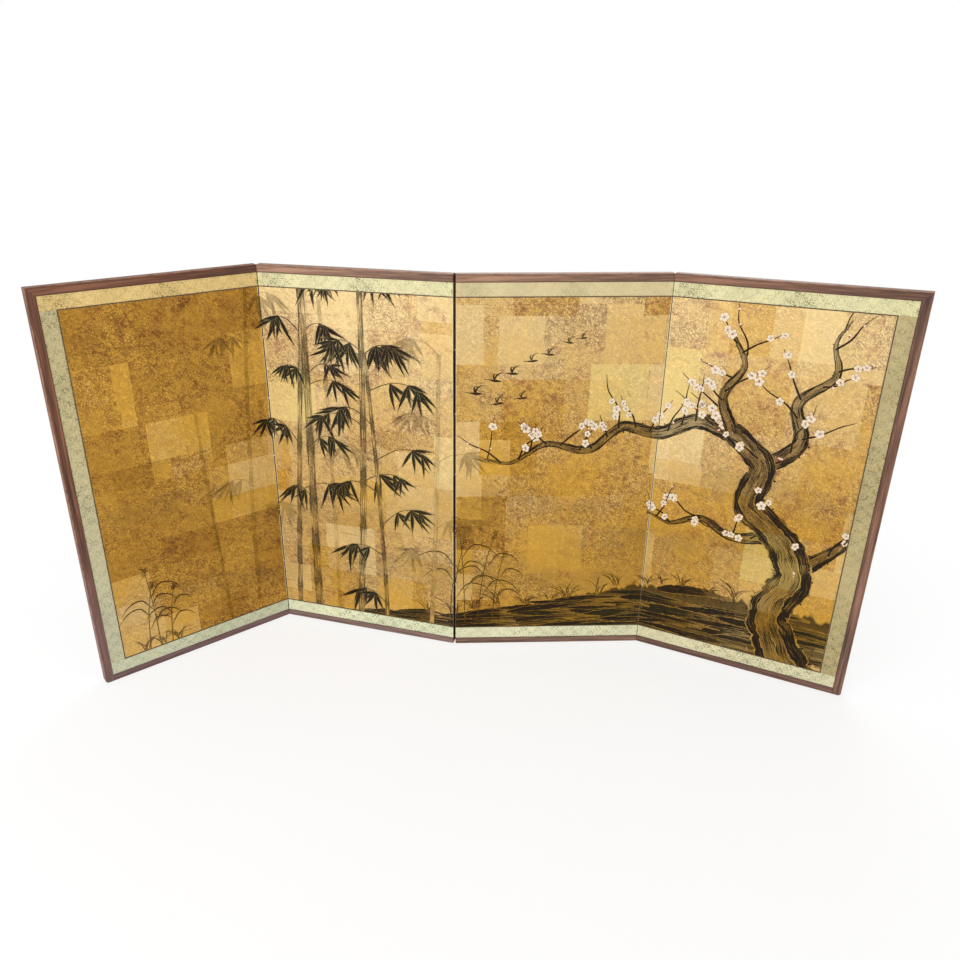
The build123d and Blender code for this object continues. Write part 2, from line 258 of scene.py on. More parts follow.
class Nodes:
    """Writes a node tree in short steps: each call adds a node and hands back its output."""

    def __init__(self, tree):
        self.tree = tree

    def feed(self, socket, value):
        """Links an output to a socket, or sets the socket to a plain value."""
        if isinstance(value, bpy.types.NodeSocket):
            self.tree.links.new(value, socket)
        elif isinstance(value, tuple) and len(value) == 3 and socket.type == "RGBA":
            socket.default_value = (*value, 1.0)
        else:
            socket.default_value = value

    def fill(self, node, given):
        """Feeds a node's inputs from values in their order, or from a table of values by name or place."""
        for key, value in given.items() if isinstance(given, dict) else enumerate(given):
            self.feed(node.inputs[key], value)

    def add(self, kind, given=(), **settings):
        """Adds a node with its settings, and feeds its inputs."""
        node = self.tree.nodes.new(kind)
        for name, value in settings.items():
            setattr(node, name, value)
        self.fill(node, given)
        return node

    def math(self, operation, first, second=0.0):
        return self.add("ShaderNodeMath", (first, second), operation=operation).outputs[0]

    def times(self, first, second):
        return self.math("MULTIPLY", first, second)

    def plus(self, first, second):
        return self.math("ADD", first, second)

    def less(self, first, second):
        return self.math("SUBTRACT", first, second)

    def split(self, vector):
        return tuple(self.add("ShaderNodeSeparateXYZ", (vector,)).outputs)

    def join(self, first, second, third=0.0):
        return self.add("ShaderNodeCombineXYZ", (first, second, third)).outputs[0]

    def stretch(self, vector, scales):
        """A vector with each part multiplied by its own number."""
        return self.add("ShaderNodeVectorMath", (vector, scales), operation="MULTIPLY").outputs[0]

    def noise(self, vector, scale, detail=2.0, roughness=0.5, distortion=0.0):
        given = {"Scale": scale, "Detail": detail, "Roughness": roughness, "Distortion": distortion}
        return self.add("ShaderNodeTexNoise", {"Vector": vector, **given}).outputs[0]

    def cells(self, vector, scale, feature="DISTANCE_TO_EDGE"):
        given = {"Vector": vector, "Scale": scale}
        return self.add("ShaderNodeTexVoronoi", given, feature=feature).outputs["Distance"]

    def chance(self, first, second):
        """A random value from 0 to 1 for each pair of whole numbers."""
        given = {"Vector": self.join(first, second)}
        return self.add("ShaderNodeTexWhiteNoise", given, noise_dimensions="2D").outputs["Value"]

    def ease(self, value, low, high, start=0.0, end=1.0):
        """A smooth step from start to end while the value goes from low to high."""
        given = {"Value": value, "From Min": low, "From Max": high, "To Min": start, "To Max": end}
        return self.add("ShaderNodeMapRange", given, interpolation_type="SMOOTHSTEP").outputs[0]

    def mix(self, factor, first, second, blend="MIX"):
        """One colour laid over another. The node keeps its colours in places 6, 7 and 2."""
        given = {0: factor, 6: first, 7: second}
        return self.add("ShaderNodeMix", given, data_type="RGBA", blend_type=blend).outputs[2]

    def shade(self, value, colour_in):
        """A colour made lighter or darker by a plain factor."""
        return self.add("ShaderNodeVectorMath", {0: colour_in, "Scale": value}, operation="SCALE").outputs[0]

    def ramp(self, value, stops):
        node = self.add("ShaderNodeValToRGB", (value,))
        elements = node.color_ramp.elements
        while len(elements) < len(stops):
            elements.new(0.5)
        for element, (position, colour_out) in zip(elements, stops):
            element.position = position
            element.color = (*colour_out, 1.0)
        return node.outputs[0]

    def bump(self, height, strength, distance):
        given = {"Strength": strength, "Distance": distance, "Height": height}
        return self.add("ShaderNodeBump", given).outputs[0]

    def attribute(self, name):
        return self.add("ShaderNodeAttribute", attribute_name=name)

    def place(self, panel):
        """Where a point lies on its panel, in metres: along the paper, behind its face, above the floor."""
        given = {
            "Vector": self.add("ShaderNodeTexCoord").outputs["Object"],
            "Location": (*panel.origin, 0.0),
            "Rotation": (0.0, 0.0, panel.turn),
        }
        return self.add("ShaderNodeMapping", given, vector_type="TEXTURE").outputs[0]


def new_material(name):
    """A material, the writer for its tree and its surface shader, which is still plain."""
    material = bpy.data.materials.new(name)
    material.use_nodes = True
    material.node_tree.nodes.clear()
    nodes = Nodes(material.node_tree)
    shader = nodes.add("ShaderNodeBsdfPrincipled")
    nodes.add("ShaderNodeOutputMaterial", {"Surface": shader.outputs[0]})
    return material, nodes, shader


def dress(node_name, material):
    """Gives a node of the frame its material."""
    slots = frame["nodes"][node_name].data.materials
    slots.clear()
    slots.append(material)


# ---------------------------------------------------------------- wood, cloth, paper and metal


def bar_edges(nodes, face, depth, face_span, depth_span):
    """Distance from a bar's nearest long edge, in metres."""
    from_sides = nodes.math("MINIMUM", nodes.less(face, face_span[0]), nodes.less(face_span[1], face))
    from_faces = nodes.math("MINIMUM", nodes.less(depth, depth_span[0]), nodes.less(depth_span[1], depth))
    squares = nodes.plus(nodes.times(from_sides, from_sides), nodes.times(from_faces, from_faces))
    return nodes.math("SQRT", squares)


def bar_noise(nodes, bar, lengthwise, crosswise, *figure):
    """Noise drawn out along a bar, from its scales along the bar and across it."""
    scaled = [nodes.times(way, scale) for way, scale in zip(bar, (lengthwise, crosswise, crosswise))]
    return nodes.noise(nodes.join(*scaled), 1.0, *figure)


# How far dust has dulled each panel's mouldings at the foot
MOULDING_DUST = {1: 0.40, 2: 0.34, 3: 0.06, 4: 0.10}
# Painted light and shade on each panel's mouldings, for how each panel faces the light: how they differ in
# red, green and blue from the moulding colour
MOULDING_PAINTED_LIGHT = {1: (0.88, 0.72, 0.54), 2: (1.50, 1.85, 1.95), 3: (1.46, 1.76, 1.82), 4: (1.08, 1.14, 1.10)}


def moulding_wood(panel, piece, colours, sizes):
    """Dark lacquered hardwood with its grain along the bar, rubbed pale along the edges."""
    material, nodes, shader = new_material(f"moulding_wood_{panel.number}_{piece}")
    across, depth, up = nodes.split(nodes.place(panel))
    upright = piece.startswith("side")
    run, face, axis = (up, across, 0) if upright else (across, up, 2)
    face_span, depth_span = panel.span(piece, axis), panel.span(piece, 1)
    bar = (run, face, depth)

    streaks = bar_noise(nodes, bar, 9.0, 210.0, 5.0, 0.6, 0.2)
    figure = bar_noise(nodes, bar, 2.2, 70.0, 3.0, 0.5, 0.6)
    pores = nodes.ease(bar_noise(nodes, bar, 60.0, 1500.0, 2.0), 0.60, 0.72)
    tone = nodes.plus(nodes.times(streaks, 0.55), nodes.times(figure, 0.45))
    # Each panel's copy of the moulding colour is lit or shaded by painted light
    base = toned(colours.moulding, MOULDING_PAINTED_LIGHT[panel.number])
    light = tuple(min(1.0, level * 1.75 + 0.02) for level in base)
    wood = nodes.ramp(tone, [(0.39, toned(base, 0.34)), (0.50, base), (0.62, light)])
    wood = nodes.mix(nodes.times(pores, 0.5), wood, toned(base, 0.3))

    edge = bar_edges(nodes, face, depth, face_span, depth_span)
    patchy = nodes.ease(nodes.noise(nodes.place(panel), 38.0, 4.0, 0.65), 0.36, 0.62)
    rubbed = nodes.times(nodes.ease(edge, sizes.edge_wear * 0.4, sizes.edge_wear, 1.0, 0.0), patchy)
    wood = nodes.mix(nodes.times(rubbed, 0.75), wood, tuple(colours.moulding_wear))

    # Painted shadow: a dark line on the front face along the inner edge, where the moulding stands proud of
    # the brocade, with some dark lacquer gathered there
    inner_side = 0 if piece == "top_moulding" or (upright and panel.number == 4) else 1
    inner = face_span[inner_side]
    inner_edge_shadow = nodes.ease(nodes.math("ABSOLUTE", nodes.less(face, inner)), 0.8 * MM, 2.4 * MM, 0.85, 0.0)
    at_front = nodes.ease(depth, -0.5 * MM, 0.5 * MM, 1.0, 0.0)
    wood = nodes.mix(nodes.times(inner_edge_shadow, at_front), wood, toned(base, 0.16))

    if upright:
        marks = nodes.ease(bar_noise(nodes, bar, 330.0, 24.0, 3.0, 0.7), 0.66, 0.74)
        low_half = nodes.ease(up, 0.42, 0.52, 1.0, 0.0)
        scuffed = nodes.times(nodes.times(marks, low_half), 0.6)
        wood = nodes.mix(scuffed, wood, tuple(colours.moulding_wear))

    dust = nodes.times(nodes.ease(up, 0.0, 0.50, 1.0, 0.0), nodes.ease(streaks, 0.3, 0.7, 0.6, 1.2))
    wood = nodes.mix(nodes.times(dust, MOULDING_DUST[panel.number]), wood, tint(138, 118, 124))
    relief = nodes.less(streaks, nodes.times(pores, 0.6))
    nodes.fill(shader, {
        "Base Color": wood,
        "Roughness": nodes.ease(tone, 0.3, 0.7, 0.46, 0.62),
        "Normal": nodes.bump(relief, 0.35, 0.15 * MM),
        "Specular IOR Level": 0.35,
        "Coat Weight": 0.05,
        "Coat Roughness": 0.3,
    })
    return material


def core_softwood(panel, upright, colours):
    """Planed softwood of the hidden frame and lattice, with its year rings along the bar."""
    bars = "uprights" if upright else "crossbars"
    material, nodes, shader = new_material(f"core_wood_{panel.number}_{bars}")
    across, depth, up = nodes.split(nodes.place(panel))
    bar = (up, across, depth) if upright else (across, up, depth)
    rings = bar_noise(nodes, bar, 1.5, 180.0, 2.0, 0.4, 0.4)
    fibres = bar_noise(nodes, bar, 25.0, 900.0, 3.0, 0.6)
    base = tuple(colours.core_wood)
    late_wood = toned(base, (0.62, 0.50, 0.40))
    wood = nodes.ramp(rings, [(0.40, base), (0.56, late_wood), (0.60, base)])
    nodes.fill(shader, {
        "Base Color": nodes.shade(nodes.ease(fibres, 0.3, 0.7, 0.88, 1.08), wood),
        "Roughness": nodes.ease(fibres, 0.3, 0.7, 0.62, 0.78),
        "Normal": nodes.bump(fibres, 0.3, 0.1 * MM),
    })
    return material


def scroll_figure(nodes, across, up, repeat):
    """How strongly the scrolling figure shows: curls in alternate turns, on a waving stem with leaves."""
    wide = nodes.math("DIVIDE", across, repeat)
    tall = nodes.math("DIVIDE", up, repeat * 0.86)
    row = nodes.math("FLOOR", tall)
    wide = nodes.plus(wide, nodes.times(nodes.math("MODULO", row, 2.0), 0.5))
    column = nodes.math("FLOOR", wide)
    dx = nodes.less(nodes.math("FRACT", wide), 0.5)
    dz = nodes.less(nodes.math("FRACT", tall), 0.5)
    turn_way = nodes.less(nodes.times(nodes.math("PINGPONG", nodes.plus(column, row), 1.0), 2.0), 1.0)
    radius = nodes.math("SQRT", nodes.plus(nodes.times(dx, dx), nodes.times(dz, dz)))
    angle = nodes.math("ARCTAN2", dz, nodes.times(dx, turn_way))
    curl_wave = nodes.math("SINE", nodes.plus(angle, nodes.times(radius, 15.0)))
    curl = nodes.times(nodes.ease(curl_wave, 0.25, 0.70), nodes.ease(radius, 0.36, 0.44, 1.0, 0.0))
    stem_line = nodes.times(nodes.math("SINE", nodes.times(wide, 2 * math.pi)), 0.16)
    stem_gap = nodes.math("ABSOLUTE", nodes.less(nodes.math("ABSOLUTE", dz), nodes.less(0.44, stem_line)))
    stem = nodes.ease(stem_gap, 0.02, 0.06, 1.0, 0.0)
    leaf_wide = nodes.math("ABSOLUTE", nodes.less(nodes.math("FRACT", nodes.times(wide, 2.0)), 0.5))
    leaf_tall = nodes.math("ABSOLUTE", nodes.less(nodes.math("FRACT", nodes.times(tall, 2.0)), 0.5))
    leaf = nodes.ease(nodes.plus(leaf_wide, nodes.times(leaf_tall, 1.8)), 0.10, 0.20, 1.0, 0.0)
    return nodes.math("MAXIMUM", nodes.math("MAXIMUM", curl, stem), leaf)


def figured_brocade(panel, strip, colours, sizes, scaling, contrast):
    """Satin border cloth with clusters of woven scrolls, toned unevenly along its length, with each strip's
    colour and the clearness of its figure set by painted light and sheen.
    """
    material, nodes, shader = new_material(f"brocade_{panel.number}_{strip}")
    place = nodes.place(panel)
    across, _, up = nodes.split(place)
    scrolls = scroll_figure(nodes, across, up, sizes.brocade_repeat)
    turn = 2 * math.pi / sizes.brocade_repeat
    by_across = nodes.math("COSINE", nodes.times(across, turn / 4))
    by_up = nodes.math("COSINE", nodes.times(up, turn / 2.8))
    wander = nodes.times(nodes.less(nodes.noise(place, 55.0, 2.0, 0.6), 0.5), 2.6)
    cluster = nodes.ease(nodes.plus(nodes.times(by_across, by_up), wander), -0.30, 0.50, 0.50, 1.0)
    specks = nodes.ease(nodes.noise(place, 300.0, 2.0, 0.75), 0.51, 0.60)
    figure = nodes.times(nodes.math("MAXIMUM", nodes.times(scrolls, 0.9), specks), cluster)
    threads = nodes.noise(nodes.join(nodes.times(across, 260.0), nodes.times(up, 2400.0)), 1.0, 2.0, 0.6)
    toning = nodes.noise(place, 9.0, 3.0, 0.6)
    # How clearly the figure shows: uneven along the strip, and dimmed where the strip's painted sheen hides it
    figure_showing = nodes.ease(nodes.noise(place, 5.0, 2.0), 0.38, 0.60, contrast * 0.45, contrast)
    # Painted light and sheen: each strip's copy of the one cloth is lit, shaded or paled by its own scale of
    # red, green and blue
    ground, woven = toned(colours.brocade, scaling), toned(colours.brocade_figure, scaling)
    cloth = nodes.mix(nodes.times(figure, figure_showing), ground, woven)
    cloth = nodes.shade(nodes.ease(toning, 0.3, 0.7, 0.90, 1.08), cloth)
    cloth = nodes.shade(nodes.ease(threads, 0.25, 0.75, 0.90, 1.08), cloth)
    # Painted sheen: a pale mint cast on panel 1's strips, strongest toward the foot, for how the satin there
    # catches the light
    if panel.number == 1:
        mint_sheen = nodes.shade(nodes.ease(figure, 0.0, 1.0, 1.0, 0.62), tint(206, 214, 190))
        cloth = nodes.mix(nodes.ease(up, 0.05, 0.72, 0.52, 0.0), cloth, mint_sheen)
    stain = nodes.ease(nodes.noise(place, 60.0, 4.0, 0.7), 0.62, 0.76)
    cloth = nodes.mix(nodes.times(stain, 0.22), cloth, tint(150, 128, 84))
    relief = nodes.plus(nodes.times(figure, 0.7), nodes.times(threads, 0.5))
    nodes.fill(shader, {
        "Base Color": cloth,
        "Roughness": nodes.ease(figure, 0.0, 1.0, 0.46, 0.68),
        "Normal": nodes.bump(relief, 0.5, 0.12 * MM),
        "Sheen Weight": 0.10,
        "Sheen Roughness": 0.4,
    })
    return material


def fillet_strip(panel, colours):
    """Narrow dark strip, its colour rubbed thin in places."""
    material, nodes, shader = new_material(f"fillet_{panel.number}")
    place = nodes.place(panel)
    rub = nodes.noise(place, 70.0, 4.0, 0.7)
    fine = nodes.noise(place, 420.0, 2.0, 0.6)
    base = tuple(colours.fillet)
    strip = nodes.ramp(rub, [(0.34, toned(base, 0.45)), (0.52, base), (0.70, toned(base, 1.9))])
    nodes.fill(shader, {
        "Base Color": nodes.shade(nodes.ease(fine, 0.3, 0.7, 0.8, 1.15), strip),
        "Roughness": nodes.ease(rub, 0.3, 0.7, 0.38, 0.6),
        "Normal": nodes.bump(fine, 0.3, 0.08 * MM),
    })
    return material


def plain_back_paper(panel, colours):
    """Plain strong paper with long fibres, a little mottled by age."""
    material, nodes, shader = new_material(f"back_paper_{panel.number}")
    place = nodes.place(panel)
    mottle = nodes.noise(place, 6.0, 4.0, 0.6)
    fibres = nodes.noise(nodes.stretch(place, (90.0, 90.0, 420.0)), 1.0, 4.0, 0.7, 1.6)
    hairs = nodes.noise(nodes.stretch(place, (420.0, 90.0, 70.0)), 1.0, 3.0, 0.7, 2.2)
    hairs = nodes.ease(hairs, 0.62, 0.72)
    base = tuple(colours.back_paper)
    paper = nodes.shade(nodes.ease(mottle, 0.3, 0.7, 0.84, 1.12), base)
    paper = nodes.shade(nodes.ease(fibres, 0.3, 0.7, 0.93, 1.06), paper)
    paper = nodes.mix(nodes.times(hairs, 0.35), paper, tuple(min(1.0, level * 1.6) for level in base))
    spots = nodes.ease(nodes.cells(place, 34.0, "F1"), 0.03, 0.10, 0.35, 0.0)
    nodes.fill(shader, {
        "Base Color": nodes.mix(spots, paper, toned(base, 0.45)),
        "Roughness": nodes.ease(fibres, 0.3, 0.7, 0.70, 0.84),
        "Normal": nodes.bump(nodes.plus(fibres, hairs), 0.4, 0.1 * MM),
    })
    return material


def hinge_cloth(colours):
    """Dark plain-weave cloth of the hinge strips, paler where it has rubbed in the fold."""
    material, nodes, shader = new_material("hinge_cloth")
    across, up, _ = nodes.split(nodes.attribute("cloth").outputs["Vector"])
    place = nodes.join(across, up)
    waves = [nodes.math("SINE", nodes.times(way, 2 * math.pi / HINGE_THREAD)) for way in (across, up)]
    weave = nodes.times(*waves)
    rub = nodes.noise(place, 45.0, 4.0, 0.65)
    slubs = nodes.noise(nodes.stretch(place, (1400.0, 60.0, 1.0)), 1.0, 2.0)
    base = tuple(colours.hinge)
    cloth = nodes.ramp(rub, [(0.35, toned(base, 0.6)), (0.65, toned(base, 1.6))])
    cloth = nodes.shade(nodes.ease(weave, -1.0, 1.0, 0.82, 1.12), cloth)
    nodes.fill(shader, {
        "Base Color": nodes.shade(nodes.ease(slubs, 0.3, 0.7, 0.88, 1.10), cloth),
        "Roughness": nodes.ease(rub, 0.3, 0.7, 0.78, 0.9),
        "Normal": nodes.bump(weave, 0.4, 0.12 * MM),
        "Sheen Weight": 0.1,
    })
    return material


def nail_steel(colours):
    """Drawn steel, dulled, with a bloom of rust."""
    material, nodes, shader = new_material("nail_steel")
    place = nodes.add("ShaderNodeTexCoord").outputs["Object"]
    drawn = nodes.noise(nodes.stretch(place, (2600.0, 2600.0, 300.0)), 1.0, 3.0)
    rust = nodes.ease(nodes.noise(place, 240.0, 4.0, 0.7), 0.54, 0.70)
    steel = nodes.shade(nodes.ease(drawn, 0.3, 0.7, 0.8, 1.15), tuple(colours.nail))
    nodes.fill(shader, {
        "Base Color": nodes.mix(nodes.times(rust, 0.7), steel, tint(112, 66, 40)),
        "Metallic": nodes.ease(rust, 0.0, 1.0, 0.95, 0.2),
        "Roughness": nodes.ease(rust, 0.0, 1.0, 0.35, 0.8),
        "Normal": nodes.bump(drawn, 0.2, 0.05 * MM),
    })
    return material


# ---------------------------------------------------------------- gilt ground


def leaf_squares(nodes, across, up, side, seed):
    """One lay of leaf squares: a chance for each square, and the distance from its nearest edge in metres."""
    tall = nodes.plus(nodes.math("DIVIDE", up, side), seed)
    row = nodes.math("FLOOR", tall)
    slide = nodes.times(nodes.chance(row, seed), 0.35)
    wide = nodes.plus(nodes.plus(nodes.math("DIVIDE", across, side), slide), seed)
    column = nodes.math("FLOOR", wide)
    pick = nodes.chance(nodes.plus(column, seed), nodes.plus(row, 0.5))
    edges = []
    for share in (nodes.math("FRACT", wide), nodes.math("FRACT", tall)):
        edges.append(nodes.math("MINIMUM", share, nodes.less(1.0, share)))
    gap = nodes.times(nodes.math("MINIMUM", *edges), side)
    return pick, gap


def leaf_group(colours, sizes):
    """Node group of the gilt ground: overlapping squares, crumple marks with painted shade in the crinkles'
    low places and painted highlights on their ridges, tarnish and the squares' seams.
    """
    tree = bpy.data.node_groups.new("gilt_leaf_ground", "ShaderNodeTree")
    nodes = Nodes(tree)
    for way, sockets in (
        ("INPUT", {"Place": "Vector", "Paleness": "Float", "Crumple": "Float", "Seed": "Float"}),
        ("OUTPUT", {"Colour": "Color", "Roughness": "Float", "Height": "Float"}),
    ):
        for name, kind in sockets.items():
            tree.interface.new_socket(name, in_out=way, socket_type=f"NodeSocket{kind}")
    given = nodes.add("NodeGroupInput").outputs
    across, _, up = nodes.split(given["Place"])
    seed, paleness_and_light = given["Seed"], given["Paleness"]
    flat = nodes.join(across, up, seed)

    drift = nodes.noise(flat, 0.42 / sizes.crumple, 2.0, 0.6, 0.4)
    bent = nodes.join(
        nodes.plus(across, nodes.times(drift, 2.6 * sizes.crumple)),
        nodes.less(up, nodes.times(drift, 2.2 * sizes.crumple)),
        seed,
    )
    crinkle = nodes.noise(bent, 1.15 / sizes.crumple, 4.0, 0.70, 1.2)
    grain = nodes.noise(flat, 5.5 / sizes.crumple, 1.0, 0.6)
    broad = nodes.noise(flat, 7.0, 2.0, 0.5)

    wander = nodes.times(nodes.less(drift, 0.5), 2.5 * MM)
    fray = nodes.times(nodes.less(crinkle, 0.5), 4 * MM)
    first_pick, first_gap = leaf_squares(
        nodes, nodes.plus(across, wander), nodes.less(up, wander), sizes.leaf_square, seed
    )
    second_pick, second_gap = leaf_squares(
        nodes, nodes.less(across, wander), up, sizes.leaf_square * 0.93, nodes.plus(seed, 3.37)
    )
    patch = nodes.ease(second_pick, 0.45, 0.47)

    # How pale each panel's leaf is carries painted light and sheen as well as the leaf's own tone
    tone = nodes.plus(paleness_and_light, nodes.times(nodes.less(first_pick, 0.5), 0.20))
    tone = nodes.plus(tone, nodes.times(patch, nodes.times(nodes.less(second_pick, 0.70), 0.50)))
    tone = nodes.plus(tone, nodes.times(nodes.less(broad, 0.5), 0.22))
    tone = nodes.plus(tone, nodes.times(nodes.less(drift, 0.5), 0.16))
    fall = nodes.times(nodes.ease(up, 0.25, 0.85, -0.16, 0.08), nodes.ease(paleness_and_light, 0.52, 0.66, -0.35, 1.0))
    tone = nodes.plus(tone, fall)
    leaf = nodes.ramp(
        tone,
        [
            (0.05, toned(colours.leaf_deep, 0.55)),
            (0.32, tuple(colours.leaf_deep)),
            (0.56, tuple(colours.leaf_warm)),
            (0.95, tuple(colours.leaf_pale)),
        ],
    )
    lemon = nodes.times(nodes.ease(second_pick, 0.955, 0.965), nodes.ease(paleness_and_light, 0.2, 0.9, 0.65, 0.35))
    leaf = nodes.mix(lemon, leaf, tuple(colours.leaf_lemon))

    share = nodes.plus(nodes.times(first_pick, 0.6), nodes.times(nodes.times(patch, second_pick), 0.55))
    calm = nodes.ease(share, 0.55, 0.80, 1.0, 0.45)
    uneven = nodes.ease(nodes.plus(nodes.times(broad, 0.6), nodes.times(drift, 0.4)), 0.40, 0.56, 0.55, 1.0)
    crumpled = nodes.times(nodes.times(calm, uneven), given["Crumple"])
    # Painted shade: the low places of the crinkles are darkened, and their ridges are lightened below as
    # painted highlight; the cracks, creases and seams are dark marks in the leaf itself
    hollow_shade = nodes.ease(crinkle, 0.38, 0.54, 1.0, 0.0)
    squiggle = nodes.times(fray, 1.8)
    warped = nodes.join(nodes.plus(across, squiggle), nodes.less(up, squiggle), seed)
    cracks = nodes.times(nodes.ease(nodes.cells(warped, 2.2 / sizes.crumple), 0.02, 0.20, 1.0, 0.0), 0.75)
    creases = nodes.ease(nodes.math("ABSOLUTE", nodes.less(drift, 0.5)), 0.0, 0.014, 1.0, 0.0)
    marks = nodes.plus(nodes.times(hollow_shade, 0.72), nodes.math("MAXIMUM", cracks, nodes.times(creases, 0.6)))
    marks = nodes.times(nodes.math("MINIMUM", marks, 1.0), nodes.ease(grain, 0.30, 0.60, 0.45, 1.0))
    leaf = nodes.mix(nodes.times(marks, crumpled), leaf, tuple(colours.crumple_and_shade_brown), "MULTIPLY")
    lit = nodes.plus(nodes.times(nodes.ease(crinkle, 0.55, 0.70, 0.0, 0.24), given["Crumple"]), 1.0)
    leaf = nodes.shade(nodes.plus(lit, nodes.ease(grain, 0.3, 0.7, -0.07, 0.07)), leaf)

    rosy = nodes.plus(nodes.noise(flat, 21.0, 3.0, 0.68, 0.3), nodes.ease(up, 0.62, 0.86, 0.0, 0.035))
    rosy = nodes.less(rosy, nodes.times(nodes.less(share, 0.45), 0.14))
    blotch = nodes.times(nodes.ease(rosy, 0.56, 0.68), nodes.ease(crinkle, 0.36, 0.62, 1.0, 0.45))
    leaf = nodes.mix(nodes.times(blotch, 0.60), leaf, tuple(colours.tarnish), "MULTIPLY")

    first_seam = nodes.ease(nodes.plus(first_gap, fray), 0.0, 0.9 * MM, 1.0, 0.0)
    second_seam = nodes.times(nodes.ease(nodes.plus(second_gap, fray), 0.0, 1.0 * MM, 1.0, 0.0), patch)
    seams = nodes.math("MAXIMUM", nodes.times(first_seam, 0.7), second_seam)
    broken = nodes.ease(nodes.plus(nodes.times(broad, 0.5), nodes.times(drift, 0.5)), 0.46, 0.58, 0.05, 0.55)
    leaf = nodes.mix(nodes.times(seams, broken), leaf, tuple(colours.crumple_and_shade_brown), "MULTIPLY")
    overlap = nodes.ease(first_gap, 2.5 * MM, 2.9 * MM, 0.05, 0.0)
    leaf = nodes.shade(nodes.plus(1.0, overlap), leaf)

    height = nodes.plus(nodes.times(drift, 1.2), crinkle)
    rough = nodes.plus(nodes.ease(crinkle, 0.3, 0.7, 0.52, 0.34), nodes.times(blotch, 0.15))
    nodes.add("NodeGroupOutput", {"Colour": leaf, "Roughness": rough, "Height": height})
    return tree


# How pale the leaf of each panel is, partly its own tone and partly painted light: panel 1 is shaded darker as
# it turns away from the key lamp, the others are paled by painted sheen; and how crumpled the leaf of each
# panel is
LEAF_PALENESS_AND_LIGHT = {1: 0.50, 2: 0.85, 3: 0.69, 4: 0.78}
LEAF_CRUMPLE = {1: 1.00, 2: 0.88, 3: 0.95, 4: 0.84}
LEAF_METAL = 0.45
LEAF_SEED_STEP = 1.7
INK_ROUGHNESS = 0.55


def gilt_shader(nodes, shader, panel, group, coverage, pigment):
    """Leaf where the coverage is nothing, pigment where it is whole."""
    given = {
        "Place": nodes.place(panel),
        "Paleness": LEAF_PALENESS_AND_LIGHT[panel.number],
        "Crumple": LEAF_CRUMPLE[panel.number],
        "Seed": LEAF_SEED_STEP * panel.number,
    }
    ground = nodes.add("ShaderNodeGroup", given, node_tree=group).outputs
    bare = nodes.less(1.0, coverage)
    nodes.fill(shader, {
        "Base Color": nodes.mix(coverage, ground["Colour"], pigment),
        "Metallic": nodes.times(bare, LEAF_METAL),
        "Roughness": nodes.plus(nodes.times(bare, ground["Roughness"]), nodes.times(coverage, INK_ROUGHNESS)),
        "Normal": nodes.bump(ground["Height"], 0.30, 0.22 * MM),
    })


def gilt_paper(panel, group, colours):
    """Gilt paper with thin washes, whose strength the mesh carries, and a painted highlight along the folds: a
    ragged pale cream band for the lit edge of the paper.
    """
    material, nodes, shader = new_material(f"gilt_paper_{panel.number}")
    pigment = nodes.attribute("pigment")
    place = nodes.place(panel)
    pooled = nodes.ease(nodes.noise(place, 48.0, 5.0, 0.7), 0.25, 0.72, 0.55, 1.15)
    grainy = nodes.ease(nodes.noise(place, 620.0, 3.0, 0.6), 0.3, 0.7, 0.75, 1.1)
    strength = pigment.outputs["Alpha"]
    thin = nodes.less(1.0, nodes.times(nodes.times(strength, strength), 0.85))
    uneven = nodes.plus(1.0, nodes.times(nodes.less(nodes.times(pooled, grainy), 1.0), thin))
    coverage = nodes.math("MINIMUM", nodes.times(strength, uneven), 1.0)
    gilt_shader(nodes, shader, panel, group, coverage, pigment.outputs["Color"])
    leaf_colour = shader.inputs["Base Color"].links[0].from_socket
    across, _, _ = nodes.split(place)
    from_left, from_right = (nodes.math("ABSOLUTE", way) for way in (across, nodes.less(across, panel.width)))
    from_edge = nodes.math("MINIMUM", from_left, from_right)
    # Painted highlight: a ragged pale cream band along each fold edge, for the bright lit edge of the paper
    # where it turns into the fold
    ragged_edge_distance = nodes.plus(from_edge, nodes.times(nodes.less(nodes.noise(place, 130.0, 3.0, 0.7), 0.5), 3 * MM))
    lit_edge_band = nodes.times(nodes.ease(ragged_edge_distance, 0.9 * MM, 1.7 * MM, 1.0, 0.0), 0.8)
    nodes.feed(shader.inputs["Base Color"], nodes.mix(lit_edge_band, leaf_colour, tuple(colours.brocade)))
    shader.inputs["Specular IOR Level"].default_value = 0.35
    return material


def brushwork(panel, group):
    """Ink on the gilt ground, which shows through where the brush ran dry."""
    material, nodes, shader = new_material(f"brushwork_{panel.number}")
    pigment = nodes.attribute("pigment")
    travelled, across, dryness = nodes.split(nodes.attribute("stroke").outputs["Vector"])
    hairs_place = nodes.join(nodes.times(travelled, 16.0), nodes.times(across, 760.0))
    hairs = nodes.noise(hairs_place, 1.0, 4.0, 0.62, 0.15)
    hairs = nodes.plus(nodes.times(nodes.less(hairs, 0.5), 2.1), 0.5)
    tooth = nodes.noise(nodes.place(panel), 560.0, 3.0, 0.65)
    hairs = nodes.plus(hairs, nodes.times(nodes.less(tooth, 0.5), 0.40))
    on_wash = nodes.math("GREATER_THAN", dryness, 0.75 * OVER_WASH)
    dryness = nodes.less(dryness, nodes.times(on_wash, OVER_WASH))
    laid = nodes.ease(hairs, nodes.less(dryness, 0.14), nodes.plus(dryness, 0.10))
    laid = nodes.math("MAXIMUM", laid, nodes.times(on_wash, 0.52))
    coverage = nodes.times(pigment.outputs["Alpha"], laid)
    gilt_shader(nodes, shader, panel, group, coverage, pigment.outputs["Color"])
    shader.inputs["Specular IOR Level"].default_value = 0.08
    return material


# ---------------------------------------------------------------- meshes on the papers


